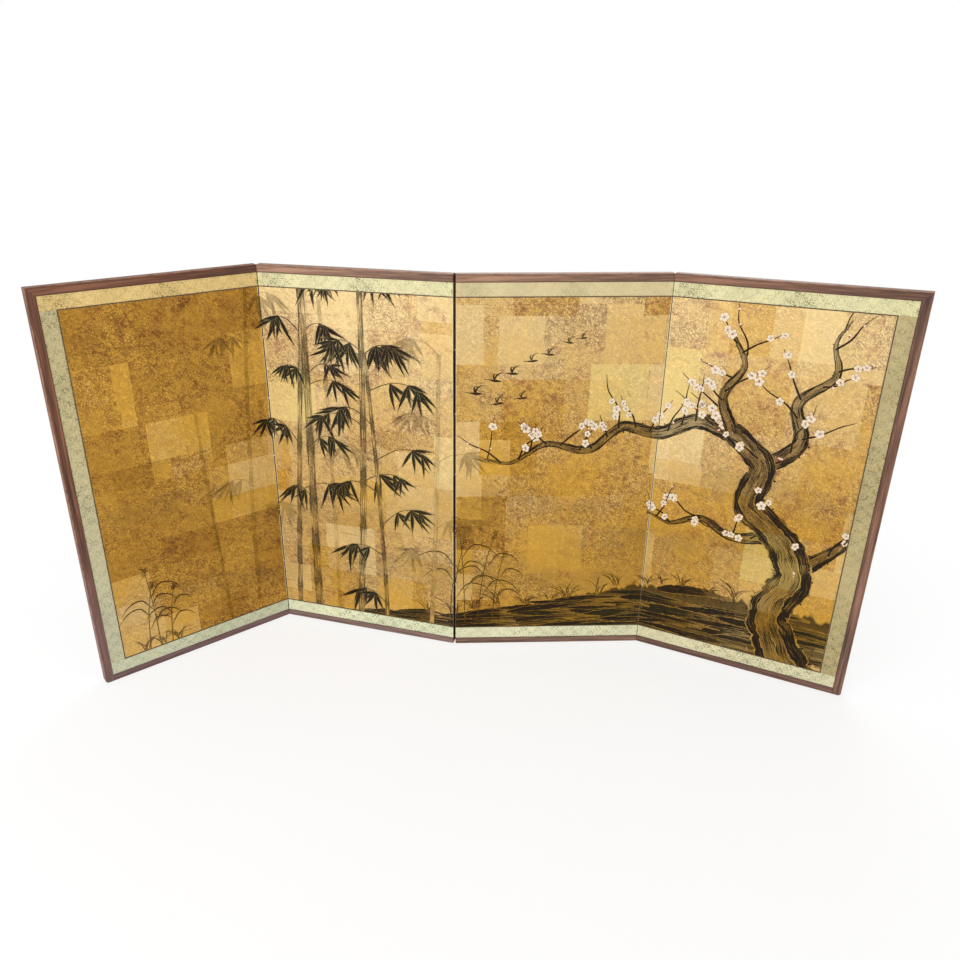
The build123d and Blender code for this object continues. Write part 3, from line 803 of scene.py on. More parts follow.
def new_piece(name, vertices, faces, material, panel):
    """A mesh object made of points of the row frame, riding on its panel."""
    mesh = bpy.data.meshes.new(name)
    mesh.from_pydata(vertices, [], faces)
    mesh.materials.append(material)
    mesh.validate()
    piece = bpy.data.objects.new(name, mesh)
    bpy.context.scene.collection.objects.link(piece)
    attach(piece, panel.body)
    return piece


def slab_faces(rows, columns):
    """Faces of a closed slab: a grid of points for its face, then the four corners of its back."""
    grid = np.arange(rows * columns).reshape(rows, columns)
    faces = np.stack([grid[:-1, :-1], grid[:-1, 1:], grid[1:, 1:], grid[1:, :-1]], axis=-1)
    low_left, low_right, high_right, high_left = range(grid.size, grid.size + 4)
    return faces.reshape(-1, 4).tolist() + [
        [low_left, high_left, high_right, low_right],
        [low_left, low_right, *grid[0, ::-1].tolist()],
        [low_right, high_right, *grid[::-1, -1].tolist()],
        [high_right, high_left, *grid[-1].tolist()],
        [high_left, low_left, *grid[:, 0].tolist()],
    ]


def grid_over(start, end, low, high, spacing):
    """Points across and up over a sheet, at about the spacing, and how many rows and columns they make."""
    columns = int(round(abs(end - start) / spacing)) + 1
    rows = int(round((high - low) / spacing)) + 1
    across, up = np.meshgrid(np.linspace(start, end, columns), np.linspace(low, high, rows))
    return across.ravel(), up.ravel(), rows, columns


def paint_points(piece, pigments, strokes=None):
    """Stores each point's pigment, and where it lies along and across its stroke."""
    layer = piece.data.color_attributes.new("pigment", "FLOAT_COLOR", "POINT")
    layer.data.foreach_set("color", np.asarray(pigments, np.float32).ravel())
    if strokes is not None:
        marks = piece.data.attributes.new("stroke", "FLOAT_VECTOR", "POINT")
        marks.data.foreach_set("vector", np.asarray(strokes, np.float32).ravel())


def mist_coverage(unfolded, up):
    """Strength of the thin washes at each place: low banks of mist with ragged ends."""
    waver = 0.016 * np.sin(unfolded * 9.1) + 0.009 * np.sin(unfolded * 23.7 + 1.3)
    ragged = 0.75 + 0.25 * np.sin(unfolded * 37.0 + 60.0 * up) * np.sin(up * 83.0 - 11.0 * unfolded)
    coverage = np.zeros_like(unfolded)
    banks = (
        # across, up, half length, half height, strength
        (0.22, 0.40, 0.20, 0.030, 0.26),
        (0.68, 0.33, 0.30, 0.050, 0.30),
        (0.60, 0.52, 0.22, 0.030, 0.20),
        (1.06, 0.40, 0.24, 0.036, 0.26),
        (1.38, 0.30, 0.26, 0.050, 0.34),
        (1.62, 0.46, 0.20, 0.040, 0.28),
        (1.02, 0.20, 0.40, 0.050, 0.34),
        (0.34, 0.16, 0.26, 0.028, 0.24),
    )
    for across, height, half_length, half_height, strength in banks:
        sideways = ((unfolded - across) / half_length) ** 4
        rise = (up - height - waver) / half_height
        upward = np.where(rise > 0, rise * 1.6, rise * 0.8) ** 2
        coverage += strength * np.exp(-sideways - upward)
    return np.clip(coverage * ragged, 0, 0.8)


def make_gilt_paper(panel, material, colours):
    """The stretched paper: a closed slab with a fine grid on its face for the washes and its slight slack."""
    across, up, rows, columns = grid_over(0, panel.width, panel.foot, panel.top, PAPER_GRID)
    face = panel.outside(across, up, panel.slack(across, up))
    back_across = np.array([0, panel.width, panel.width, 0])
    back_up = np.array([panel.foot, panel.foot, panel.top, panel.top])
    back = panel.outside(back_across, back_up, np.full(4, -panel.paper_thickness))
    name = f"{panel.body}_gilt_paper"
    piece = new_piece(name, np.vstack([face, back]), slab_faces(rows, columns), material, panel)
    pigments = np.tile([*colours.wash, 0.0], (rows * columns + 4, 1))
    pigments[:-4, 3] = mist_coverage(across + panel.unfolded_start, up)
    paint_points(piece, pigments)
    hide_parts(f"{panel.body}_front_paper")


# ---------------------------------------------------------------- border cloth


def make_stretched_sheet(panel, part, material, grid, slack, behind=False):
    """A thin stretched sheet in its node's place, with faint puckers on its seen face and a plain back."""
    node = f"{panel.body}_{part}"
    (left, front, low), (right, back, high) = np.array([panel.span(part, axis) for axis in range(3)]).T
    if behind:
        start, end, seen, hidden, inward = right, left, back, front, 1
    else:
        start, end, seen, hidden, inward = left, right, front, back, -1
    across, up, rows, columns = grid_over(start, end, low, high, grid)
    inset = np.minimum.reduce([across - left, right - across, up - low, high - up])
    pucker = 0.5 + 0.28 * np.sin(across * 97 + up * 31) + 0.22 * np.sin(up * 113 - across * 43 + panel.number)
    sunk = slack * pucker * np.clip(inset / PUCKER_BORDER, 0, 1)
    face = panel.outside(across, up, -seen + inward * sunk)
    rim_across, rim_up = np.array([start, end, end, start]), np.array([low, low, high, high])
    vertices = np.vstack([face, panel.outside(rim_across, rim_up, np.full(4, -hidden))])
    piece = new_piece(f"{node}_sheet", vertices, slab_faces(rows, columns), material, panel)
    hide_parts(node)


class Fold:
    """A fold between two panels, and the cloth strips that cross it by turns from either side."""

    def __init__(self, left, right):
        self.name = f"fold_{left.number}{right.number}"
        self.sides = (left, right)
        joint = next(item for item in frame["joints"] if item["name"] == self.name)
        self.axis = np.array(joint["pos_m"][:2])
        self.valley = self.depth(left, self.axis) < 0
        levels = set()
        for panel in self.sides:
            levels |= set(np.round(node_corners(self.node(panel))[:, 2], 5))
        levels = sorted(levels)
        self.sections = list(zip(levels[0::2], levels[1::2]))
        self.top = max(node_corners(f"{left.body}_top_moulding")[:, 2])

    def node(self, panel):
        return f"{self.name}_hinge_strips_on_{panel.body}"

    def depth(self, panel, spot):
        return -((spot - panel.origin) @ panel.outward)

    def plan(self, panel, beyond, depth):
        """A plan point of the row frame, from how far it lies beyond the panel's edge and behind its face."""
        across = panel.width + beyond if panel is self.sides[0] else -beyond
        return panel.origin + panel.along * across - panel.outward * depth

    def crossing(self, start, end):
        """Points on the arc about the fold's axis from one panel's edge to the other's."""
        first, last = start - self.axis, end - self.axis
        swing = math.atan2(first[0] * last[1] - first[1] * last[0], first @ last)
        points = []
        for share in np.linspace(0, 1, HINGE_ARC_POINTS):
            cosine, sine = math.cos(swing * share), math.sin(swing * share)
            turned = np.array([cosine * first[0] - sine * first[1], sine * first[0] + cosine * first[1]])
            points.append(self.axis + turned)
        return points

    def profile(self, owner, other):
        """The strip's line in plan: on the owner's edge, across the fold and onto the other panel."""
        half = 0.5 * HINGE_THICKNESS
        back = max(owner.inside(node_corners(f"{owner.body}_back_paper"))[:, 1]) + half
        if self.valley:
            start, end = self.plan(owner, half, -HINGE_PROUD), self.plan(other, half, -HINGE_PROUD)
            before = [self.plan(owner, -HINGE_TAB, back), self.plan(owner, half, back)]
            after = [self.plan(other, half, HINGE_TUCK)]
        else:
            start, end = self.plan(owner, half, back), self.plan(other, half, back)
            before = [self.plan(owner, half, half)]
            after = [self.plan(other, -HINGE_TAB, back)]
        return start, end, round_corners([*before, *self.crossing(start, end), *after], HINGE_ROUNDING)


def round_corners(points, reach):
    """A plan line with each corner cut back by the reach, or by a third of a short side, and eased round."""
    rounded = [points[0]]
    for before, corner, after in zip(points, points[1:], points[2:]):
        toward, away = before - corner, after - corner
        step = min(reach, np.linalg.norm(toward) / 3, np.linalg.norm(away) / 3)
        first = corner + toward / np.linalg.norm(toward) * step
        last = corner + away / np.linalg.norm(away) * step
        rounded += [first, 0.25 * first + 0.5 * corner + 0.25 * last, last]
    rounded.append(points[-1])
    return np.array(rounded)


def make_hinge_strip(fold, number, low, high, material):
    """One cloth strip: it lies on one panel's edge, turns through the fold and is held by the other panel.

    The lowest and highest strips of a fold have a tongue that fills the crack between the mouldings' ends.
    """
    owner, other = fold.sides if number % 2 == 0 else fold.sides[::-1]
    start, end, line = fold.profile(owner, other)
    steps = np.diff(line, axis=0)
    lengths = np.linalg.norm(steps, axis=1)
    sides = np.column_stack([-steps[:, 1], steps[:, 0]]) / lengths[:, None]
    normals = np.vstack([sides[:1], sides[:-1] + sides[1:], sides[-1:]])
    normals /= np.linalg.norm(normals, axis=1)[:, None]
    travelled = np.concatenate([[0], np.cumsum(lengths)])
    levels = np.linspace(low, high, HINGE_ROWS + 1)
    count = len(line)
    cells = np.ones((HINGE_ROWS, count - 1), bool)
    middles = 0.5 * (line[:-1] + line[1:]) - fold.axis
    in_fold = np.linalg.norm(middles, axis=1) < HINGE_ARC_EASE * np.linalg.norm(start - fold.axis)
    if number == 0:
        levels, cells = np.append(HINGE_TONGUE_GAP, levels), np.vstack([in_fold, cells])
    if number == len(fold.sections) - 1:
        levels, cells = np.append(levels, fold.top - HINGE_TONGUE_GAP), np.vstack([cells, in_fold])
    vertices, marks = [], []
    for way in (-0.5, 0.5):
        plan = line + normals * HINGE_THICKNESS * way
        for level in levels:
            vertices.append(np.column_stack([plan, np.full(count, level)]))
            marks.append(np.column_stack([travelled, np.full(count, level), np.full(count, way)]))
    inner, outer = np.arange(2 * len(levels) * count).reshape(2, len(levels), count)
    quads = []
    for row, column in zip(*np.nonzero(cells)):
        corners = [(row, column), (row + 1, column), (row + 1, column + 1), (row, column + 1)]
        beside = [(row, column - 1), (row + 1, column), (row, column + 1), (row - 1, column)]
        quads.append([outer[corner] for corner in corners])
        quads.append([inner[corner] for corner in corners[::-1]])
        for first, second, (next_row, next_column) in zip(corners, corners[1:] + corners[:1], beside):
            within = 0 <= next_row < cells.shape[0] and 0 <= next_column < cells.shape[1]
            if not (within and cells[next_row, next_column]):
                quads.append([outer[second], outer[first], inner[first], inner[second]])
    used, quads = np.unique(quads, return_inverse=True)
    mesh = bpy.data.meshes.new(f"{fold.name}_hinge_strip_{number + 1}")
    mesh.from_pydata(np.vstack(vertices)[used], [], quads.reshape(-1, 4).tolist())
    mesh.validate()
    mesh.materials.append(material)
    mesh.polygons.foreach_set("use_smooth", [True] * len(mesh.polygons))
    layer = mesh.attributes.new("cloth", "FLOAT_VECTOR", "POINT")
    layer.data.foreach_set("vector", np.vstack(marks)[used].astype(np.float32).ravel())
    piece = bpy.data.objects.new(mesh.name, mesh)
    bpy.context.scene.collection.objects.link(piece)
    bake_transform(piece)
    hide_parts(*([fold.node(owner)] if fold.valley else [fold.node(owner), fold.node(other)]))


# ---------------------------------------------------------------- brush and strokes

BROAD_LANES = np.array([-1.0, -0.88, -0.5, 0.0, 0.5, 0.88, 1.0])
THIN_LANES = np.array([-1.0, -0.55, 0.55, 1.0])
THIN_STROKE = 2 * MM
# Added to a stroke's dryness where it lies on a wash, which then shows in its gaps in place of the leaf
OVER_WASH = 2.0
MIDDLE_LANES = 0.8
DAB_BODY = 0.84
# Each stroke's hairs start at a random place up to this many metres away, so no two are alike
HAIR_RUN = 40
# Seed of each motif's random draws
SEEDS = {"bamboo": 11, "bank": 23, "ripples": 37, "plum": 41, "geese": 53}


def smooth_path(stops, step):
    """Rows every step or so along a smooth curve through the stops, whose other columns run with it."""
    stops = np.asarray(stops, float)
    line = np.vstack([2 * stops[0] - stops[1], stops, 2 * stops[-1] - stops[-2]])
    runs = []
    for before, start, end, after in zip(line, line[1:], line[2:], line[3:]):
        count = max(3, int(np.hypot(*(end - start)[:2]) / step))
        t = np.linspace(0, 1, count, endpoint=False)[:, None]
        bend = (2 * before - 5 * start + 4 * end - after) * t**2
        twist = (3 * start - before - 3 * end + after) * t**3
        runs.append(0.5 * (2 * start + (end - before) * t + bend + twist))
    return np.vstack([*runs, stops[-1:]])


def directions(heading):
    """The way ahead and the way to its left, as unit vectors, from a heading in radians."""
    ahead = np.array([math.cos(heading), math.sin(heading)])
    return ahead, np.array([-ahead[1], ahead[0]])


def left_of(line, guard=0.0):
    """The unit vector to the left of a line at each of its points. A guard lets a line stand still."""
    ahead = np.gradient(line, axis=0)
    ahead /= np.hypot(ahead[:, 0], ahead[:, 1])[:, None] + guard
    return np.column_stack([-ahead[:, 1], ahead[:, 0]])


class Painting:
    """Strokes of one motif, laid out across and up as if the four papers stood in one plane."""

    def __init__(self, seed):
        self.random = np.random.RandomState(seed)
        self.rows = []
        self.faces = []
        self.count = 0
        self.layer = 0

    def between(self, low, high):
        return self.random.uniform(low, high)

    def add(self, points, pigments, strokes, faces):
        """Adds one stroke's mesh on top of the strokes before it."""
        points = points.reshape(-1, 2)
        lifts = np.full(len(points), PAINT_CLEARANCE + self.layer * PAINT_STEP)
        self.rows.append(np.column_stack([points, lifts, pigments.reshape(-1, 4), strokes.reshape(-1, 3)]))
        self.faces.append(faces + self.count)
        self.count += len(points)
        self.layer += 1

    def stroke(self, stops, ink, coverage=1.0, dry=0.0, middle=1.0, ragged=0.06, step=0.006, over_wash=False):
        """A brush stroke through stops of across, up, half width and, where it changes, dryness."""
        path = smooth_path(stops, step)
        line = path[:, :2]
        half = np.maximum(path[:, 2], LEAST_HALF_WIDTH)
        dryness = np.clip(path[:, 3], 0, 1) if path.shape[1] > 3 else np.full(len(path), dry)
        side = left_of(line, STILL_POINT_GUARD)
        travelled = np.concatenate([[0], np.cumsum(np.hypot(*np.diff(line, axis=0).T))])
        lanes = THIN_LANES if half.max() < THIN_STROKE else BROAD_LANES
        uneven = 1 + ragged * self.random.uniform(-1, 1, (len(path), 2))
        reach = lanes[None, :] * half[:, None] * np.where(lanes < 0, uneven[:, :1], uneven[:, 1:])
        points = line[:, None, :] + side[:, None, :] * reach[:, :, None]
        strength = np.where(np.abs(lanes) < MIDDLE_LANES, middle, 1.0) * (np.abs(lanes) < 1)
        pigments = np.empty((len(path), len(lanes), 4))
        pigments[:, :, :3] = ink
        pigments[:, :, 3] = coverage * strength
        start = self.between(0, HAIR_RUN)
        strokes = np.empty((len(path), len(lanes), 3))
        strokes[:, :, 0] = start + travelled[:, None]
        strokes[:, :, 1] = reach + start
        strokes[:, :, 2] = dryness[:, None] + (OVER_WASH if over_wash else 0)
        grid = np.arange(points.shape[0] * points.shape[1]).reshape(points.shape[:2])
        quads = np.stack([grid[:-1, :-1], grid[1:, :-1], grid[1:, 1:], grid[:-1, 1:]], axis=-1)
        self.add(points, pigments, strokes, quads.reshape(-1, 4))

    def dab(self, centre, radius, ink, coverage=1.0, flat=1.0, turn=0.0, sides=12):
        """A round or oval touch of the brush, soft at its rim."""
        angles = np.arange(sides) * 2 * math.pi / sides
        circle = np.column_stack([np.cos(angles), np.sin(angles) * flat])
        cosine, sine = math.cos(turn), math.sin(turn)
        circle = circle @ np.array([[cosine, sine], [-sine, cosine]])
        uneven = 1 + 0.06 * self.random.uniform(-1, 1, (sides, 1))
        rim = circle * uneven * radius
        points = np.vstack([centre, centre + rim * DAB_BODY, centre + rim])
        pigments = np.tile([*ink, coverage], (len(points), 1))
        pigments[-sides:, 3] = 0.0
        start = self.between(0, HAIR_RUN)
        offsets = points - centre
        strokes = np.column_stack([start + offsets, np.zeros(len(points))])
        inner = 1 + np.arange(sides)
        after = np.roll(inner, -1)
        outer, outer_after = inner + sides, after + sides
        middle_faces = np.column_stack([np.zeros(sides, int), inner, after, after])
        rim_faces = np.column_stack([inner, outer, outer_after, after])
        self.add(points, pigments, strokes, np.vstack([middle_faces, rim_faces]))

    def hang(self, name):
        """Cuts the strokes to each panel's painted field and lays them on its paper."""
        values, faces = np.vstack(self.rows), np.vstack(self.faces)
        for panel in PANELS:
            start = panel.unfolded_start
            low = np.array([start + panel.left + PAINT_MARGIN, panel.low + PAINT_MARGIN])
            high = np.array([start + panel.right - PAINT_MARGIN, panel.high - PAINT_MARGIN])
            kept, outlines = cut_to_window(values, faces, low, high)
            if not outlines:
                continue
            across, up = kept[:, 0] - start, kept[:, 1]
            vertices = panel.outside(across, up, panel.slack(across, up) + kept[:, 2])
            material = bpy.data.materials[f"brushwork_{panel.number}"]
            piece = new_piece(f"{name}_on_{panel.body}", vertices, outlines, material, panel)
            paint_points(piece, kept[:, 3:7], kept[:, 7:10])
            film = piece.modifiers.new("paint_film", "SOLIDIFY")
            film.thickness = PAINT_FILM
            film.offset = -1.0


def cut_to_window(values, faces, low, high):
    """The part of the faces inside an upright window. A face with two like corners is a triangle."""
    below, above = values[:, :2] < low, values[:, :2] > high
    missed = (below[faces].all(axis=1) | above[faces].all(axis=1)).any(axis=1)
    crossed = ((below | above).any(axis=1)[faces]).any(axis=1) & ~missed
    rows = list(values)
    made = {}
    whole = faces[~missed & ~crossed].tolist()
    cut = [cut_face(rows, made, face, low, high) for face in faces[crossed].tolist()]
    rows = np.array(rows)
    kept = []
    for face in whole + cut:
        corners = [corner for place, corner in enumerate(face) if corner != face[place - 1]]
        if len(corners) > 2:
            kept.append(corners)
    return tidy_faces(rows, kept)


def cut_face(rows, made, corners, low, high):
    """Clips one face at each side of the window in turn, and keeps the values at shared cuts in step."""
    for axis in (0, 1):
        for limit, way in ((low[axis], 1), (high[axis], -1)):
            kept = []
            for first, second in zip(corners, corners[1:] + corners[:1]):
                start, end = (rows[first][axis] - limit) * way, (rows[second][axis] - limit) * way
                if start >= 0:
                    kept.append(first)
                if (start >= 0) != (end >= 0):
                    key = (min(first, second), max(first, second), axis, way)
                    if key not in made:
                        share = start / (start - end)
                        rows.append(rows[first] + (rows[second] - rows[first]) * share)
                        made[key] = len(rows) - 1
                    kept.append(made[key])
            corners = kept
    return corners


def tidy_faces(rows, faces):
    """Numbers the corners in use afresh, drops slivers, and turns every face to look out of the paper."""
    used = np.unique([corner for face in faces for corner in face]).astype(int)
    renumbered = np.full(len(rows), -1)
    renumbered[used] = np.arange(len(used))
    across, up = rows[:, 0].tolist(), rows[:, 1].tolist()
    tidy = []
    for face in faces:
        area = sum(
            across[first] * up[second] - across[second] * up[first]
            for first, second in zip(face, face[1:] + face[:1])
        )
        if abs(area) > SMALLEST_FACE:
            tidy.append(renumbered[face if area > 0 else face[::-1]].tolist())
    return rows[used], tidy


# ---------------------------------------------------------------- bamboo

BAMBOO_FOOT = 0.03


def bamboo_leaf(painting, base, heading, reach, width, ink, coverage):
    """One leaf in one press and lift of the brush."""
    sag = painting.between(-0.10, 0.16) * reach
    ahead, across = directions(heading)
    stops = []
    for share, swell, dry in (
        (0.0, 0.10, 0.0),
        (0.12, 0.50, 0.0),
        (0.30, 0.95, 0.05),
        (0.50, 0.92, 0.12),
        (0.72, 0.55, 0.28),
        (0.90, 0.18, 0.35),
        (1.0, 0.03, 0.40),
    ):
        spot = base + ahead * share * reach + across * sag * share**2
        stops.append([*spot, 0.5 * width * swell, dry])
    painting.stroke(stops, ink, coverage, ragged=0.03, step=0.008)


def leaf_spray(painting, joint, side, size, ink, coverage):
    """Three to five leaves that hang and spread from the end of a twig."""
    headings = [-32, -58, -84, -112, -8]
    count = painting.random.randint(3, 6)
    first_layer = painting.layer
    for number, degrees in enumerate(headings[:count]):
        degrees = degrees + painting.between(-11, 11)
        heading = math.radians(degrees if side > 0 else 180 - degrees)
        reach = size * painting.between(0.75, 1.15) * (0.8 if number > 3 else 1.0)
        painting.layer = first_layer + number
        bamboo_leaf(painting, joint, heading, reach, size * 0.135, ink, coverage)
    painting.layer = first_layer


def bamboo_branch(painting, start, side, reach, ink, coverage):
    """A thin side branch with leaf sprays along it."""
    rise = painting.between(0.35, 0.95)
    ahead = np.array([side * math.cos(rise), math.sin(rise)])
    droop = np.array([side * 0.2, -0.45]) * reach
    bends = [
        start,
        start + ahead * reach * 0.5,
        start + ahead * reach * 0.85 + droop * 0.3,
        start + ahead * reach + droop * 0.6,
    ]
    thin = [1.1 * MM, 0.9 * MM, 0.7 * MM, 0.5 * MM]
    painting.stroke([[*spot, half] for spot, half in zip(bends, thin)], ink, coverage, ragged=0.15)
    for share in (1, 2, 3):
        if share > 1 or painting.between(0, 1) > 0.45:
            leaf_spray(painting, bends[share], side, painting.between(48, 74) * MM, ink, coverage)


def bamboo_stalk(painting, foot, lean, top, width, ink, coverage, joint_ink):
    """A stalk drawn upward one length at a time, with a hooked line at each joint. Returns the joints."""
    joints = []
    gap = 1.6 * MM

    def across_at(height):
        return foot + lean * (height - BAMBOO_FOOT) + 0.012 * math.sin(3.1 * height + foot * 9)

    height, length_now = BAMBOO_FOOT, 3.0 * width + 0.02
    while height < top:
        higher = height + length_now
        nearer, further = across_at(height), across_at(higher)
        half = 0.5 * width * (1 - 0.25 * height)
        stops = [[nearer, height + gap, half * 1.06, 0.10]]
        for share, swell, dry in ((0.15, 0.98, 0.30), (0.50, 0.93, 0.50), (0.85, 0.98, 0.40)):
            across = nearer + (further - nearer) * share
            stops.append([across, height + share * length_now, half * swell, dry])
        stops.append([further, higher - gap, half * 1.08, 0.12])
        painting.stroke(stops, ink, coverage, middle=0.80, ragged=0.02)
        joints.append(np.array([further, higher]))
        hook = [
            [further + half * side, higher + lift * MM, line * MM]
            for side, lift, line in ((-1.35, 1.3, 0.5), (-0.7, -0.2, 0.9), (0.7, -0.2, 0.9), (1.35, 1.3, 0.5))
        ]
        painting.stroke(hook, joint_ink, min(1.0, coverage * 1.15), ragged=0.1, step=0.003)
        height = higher
        length_now = min(length_now * 1.18, 9.0 * width if width > 0.012 else 0.085)
    return joints


def draw_bamboo(colours):
    """A stand of bamboo across the first fold: pale stalks behind, dark ones before them."""
    painting = Painting(SEEDS["bamboo"])
    wash, leaf_ink, ink = tuple(colours.wash), tuple(colours.leaf_ink), tuple(colours.ink)
    # Each stalk's foot, lean, top and width
    pale = (
        (0.385, 0.05, 0.90, 0.012),
        (0.615, -0.03, 0.90, 0.011),
        (0.845, 0.06, 0.70, 0.012),
        (0.300, -0.02, 0.52, 0.008),
    )
    dark = (
        (0.505, 0.055, 0.90, 0.015),
        (0.560, -0.015, 0.90, 0.023),
        (0.668, 0.030, 0.90, 0.018),
        (0.735, -0.050, 0.66, 0.011),
    )
    for foot, lean, top, width in pale:
        joints = bamboo_stalk(painting, foot, lean, top, width, wash, 0.42, wash)
        for number, joint in enumerate(joints[2:]):
            if painting.between(0, 1) > 0.45:
                side = 1 if number % 2 else -1
                bamboo_branch(painting, joint, side, painting.between(0.05, 0.09), wash, 0.45)
    for foot, lean, top, width in dark:
        joints = bamboo_stalk(painting, foot, lean, top, width, leaf_ink, 0.94, ink)
        for number, joint in enumerate(joints):
            side = 1 if number % 2 else -1
            if joint[1] > 0.30 or painting.between(0, 1) > 0.6:
                bamboo_branch(painting, joint, side, painting.between(0.06, 0.12), leaf_ink, 0.97)
            if joint[1] > 0.52 and painting.between(0, 1) > 0.35:
                bamboo_branch(painting, joint, -side, painting.between(0.05, 0.10), ink, 0.97)
    return painting


# ---------------------------------------------------------------- bank, reeds and water

BANK_LEFT = 0.66
BANK_FOOT = 0.046
BANK_RISE = 0.118
BANK_LAYERS = 26
GRASS_LAYER = 30


def grass_clump(painting, root, count, reach, ink, coverage):
    """Blades that spring from one root and bend over to both sides."""
    first_layer = painting.layer
    for number in range(count):
        heading = painting.between(0.9, 2.25)
        blade = reach * painting.between(0.5, 1.1)
        ahead, _ = directions(heading)
        bend = np.array([ahead[0] * 0.55, -0.28]) * blade
        start = root + np.array([painting.between(-7, 7) * MM, painting.between(-2, 2) * MM])
        half = painting.between(0.7, 1.3) * MM
        stops = [
            [*start, half * 0.6],
            [*(start + ahead * blade * 0.4), half],
            [*(start + ahead * blade * 0.75 + bend * 0.4), half * 0.6],
            [*(start + ahead * blade + bend), 0.12 * MM],
        ]
        painting.layer = first_layer + number % 8
        painting.stroke(stops, ink, coverage, dry=0.12, ragged=0.05)
    painting.layer = first_layer + 1


def reed(painting, root, height, lean, ink, coverage):
    """A tall reed with two long leaves and a ragged head."""
    top = root + np.array([lean, height])
    middle = root + np.array([lean * 0.35, height * 0.55])
    painting.stroke([[*root, 1.1 * MM], [*middle, 0.9 * MM], [*top, 0.5 * MM]], ink, coverage, ragged=0.05)
    for share, side in ((0.30, 1), (0.48, -1), (0.62, 1)):
        start = root + (top - root) * share
        reach = height * painting.between(0.30, 0.45)
        stops = [
            [*start, 0.5 * MM],
            [start[0] + side * reach * 0.3, start[1] + reach * 0.42, 1.7 * MM],
            [start[0] + side * reach * 0.7, start[1] + reach * 0.36, 1.3 * MM],
            [start[0] + side * reach, start[1] + reach * 0.05, 0.15 * MM],
        ]
        painting.stroke(stops, ink, coverage, dry=0.15, ragged=0.05)
    for number in range(9):
        start = top - np.array([lean, height]) * 0.012 * number
        side = 1 if number % 2 else -1
        droop = painting.between(9, 17) * MM
        end = start + np.array([side * droop * 0.55 + lean * 0.05, -droop * 0.25 + 0.004])
        husk = [[*start, 0.5 * MM], [*((start + end) / 2 + [0, 0.003]), 1.2 * MM], [*end, 0.2 * MM]]
        painting.stroke(husk, ink, coverage, dry=0.3, step=0.004)


def draw_bank(colours):
    """A low grassy bank along the foot, in broad dry strokes, with reeds at the water's edge."""
    painting = Painting(SEEDS["bank"])
    ink, wash, leaf_ink = tuple(colours.ink), tuple(colours.wash), tuple(colours.leaf_ink)
    # Each stop's place across and up, half width and dryness
    mass = [
        [0.64, 0.046, 0.004, 0.40],
        [0.80, 0.052, 0.014, 0.22],
        [0.98, 0.066, 0.026, 0.12],
        [1.16, 0.086, 0.040, 0.08],
        [1.34, 0.104, 0.056, 0.06],
        [1.54, 0.118, 0.066, 0.08],
        [1.88, 0.116, 0.066, 0.12],
    ]
    painting.stroke(mass, toned(wash, 0.35), 0.88, middle=0.92, ragged=0.14)
    for number in range(84):
        start = painting.between(BANK_LEFT, BANK_LEFT + 1.0)
        run = painting.between(0.10, 0.30)
        rise = BANK_RISE * min(1.0, max(0.0, (start + 0.5 * run - BANK_LEFT) / 0.80)) ** 1.2
        level = BANK_FOOT + rise * painting.between(0.0, 1.0)
        half = painting.between(4.0, 7.0 + 60 * rise) * MM
        slope = painting.between(-0.004, 0.022)
        tone = ink if number % 3 else leaf_ink
        stops = [
            [start, level, half * 0.30, 0.05],
            [start + run * 0.2, level + slope * 0.4, half, 0.12],
            [start + run * 0.6, level + slope, half * 0.85, 0.34],
            [start + run, level + slope * 0.8, half * 0.25, 0.70],
        ]
        painting.layer = 2 + number % BANK_LAYERS
        painting.stroke(stops, tone, 0.96, ragged=0.16, over_wash=True)
    painting.layer = GRASS_LAYER
    for number in range(16):
        across = 0.86 + 0.056 * number + painting.between(-0.018, 0.018)
        up = 0.066 + BANK_RISE * min(1.0, (across - 0.80) / 0.66) + painting.between(-0.010, 0.010)
        blades, reach = painting.random.randint(7, 13), painting.between(34, 70) * MM
        grass_clump(painting, np.array([across, up]), blades, reach, ink, 0.96)
    # Each reed's foot across and up, height and lean
    for across, up, height, lean in (
        (0.905, 0.062, 0.23, 0.030),
        (0.938, 0.060, 0.29, -0.018),
        (0.968, 0.066, 0.25, 0.040),
        (1.004, 0.070, 0.19, 0.028),
        (0.094, 0.050, 0.17, 0.026),
        (0.120, 0.050, 0.21, -0.012),
        (0.148, 0.050, 0.15, 0.022),
    ):
        reed(painting, np.array([across, up]), height, lean, ink, 0.95)
    for across in (0.085, 0.125, 0.165):
        grass_clump(painting, np.array([across, 0.050]), 9, 45 * MM, leaf_ink, 0.92)
    return painting


def draw_water(colours):
    """Long thin ripples, in thin ink, with a few darker ones near the bank."""
    painting = Painting(SEEDS["ripples"])
    wash, ink = tuple(colours.wash), tuple(colours.ink)
    for number in range(44):
        across = painting.between(0.05, 1.36)
        up = 0.060 + painting.between(0, 1) ** 1.4 * 0.24
        run = painting.between(0.05, 0.20) * (1.1 - up)
        swing = painting.between(0.8, 2.6) * MM
        half = painting.between(0.45, 1.2) * MM
        stops = [
            [across, up, 0.1 * MM, 0.1],
            [across + run * 0.28, up + swing, half, 0.2],
            [across + run * 0.55, up - swing * 0.6, half * 0.8, 0.4],
            [across + run * 0.80, up + swing * 0.5, half * 0.6, 0.5],
            [across + run, up, 0.1 * MM, 0.6],
        ]
        near = up < 0.12
        painting.layer = number % 6
        painting.stroke(stops, ink if near else wash, 0.7 if near else 0.55, ragged=0.2)
    return painting


# ---------------------------------------------------------------- plum tree

FIRST_TWIG_LAYER = 70
TWIG_LAYERS = 12
# Each dark stroke's place across the limb, its share of the limb's width and its dryness
BARK_STROKES = ((-0.62, 0.42, 0.28), (0.60, 0.40, 0.34), (-0.15, 0.34, 0.52), (0.25, 0.30, 0.58))


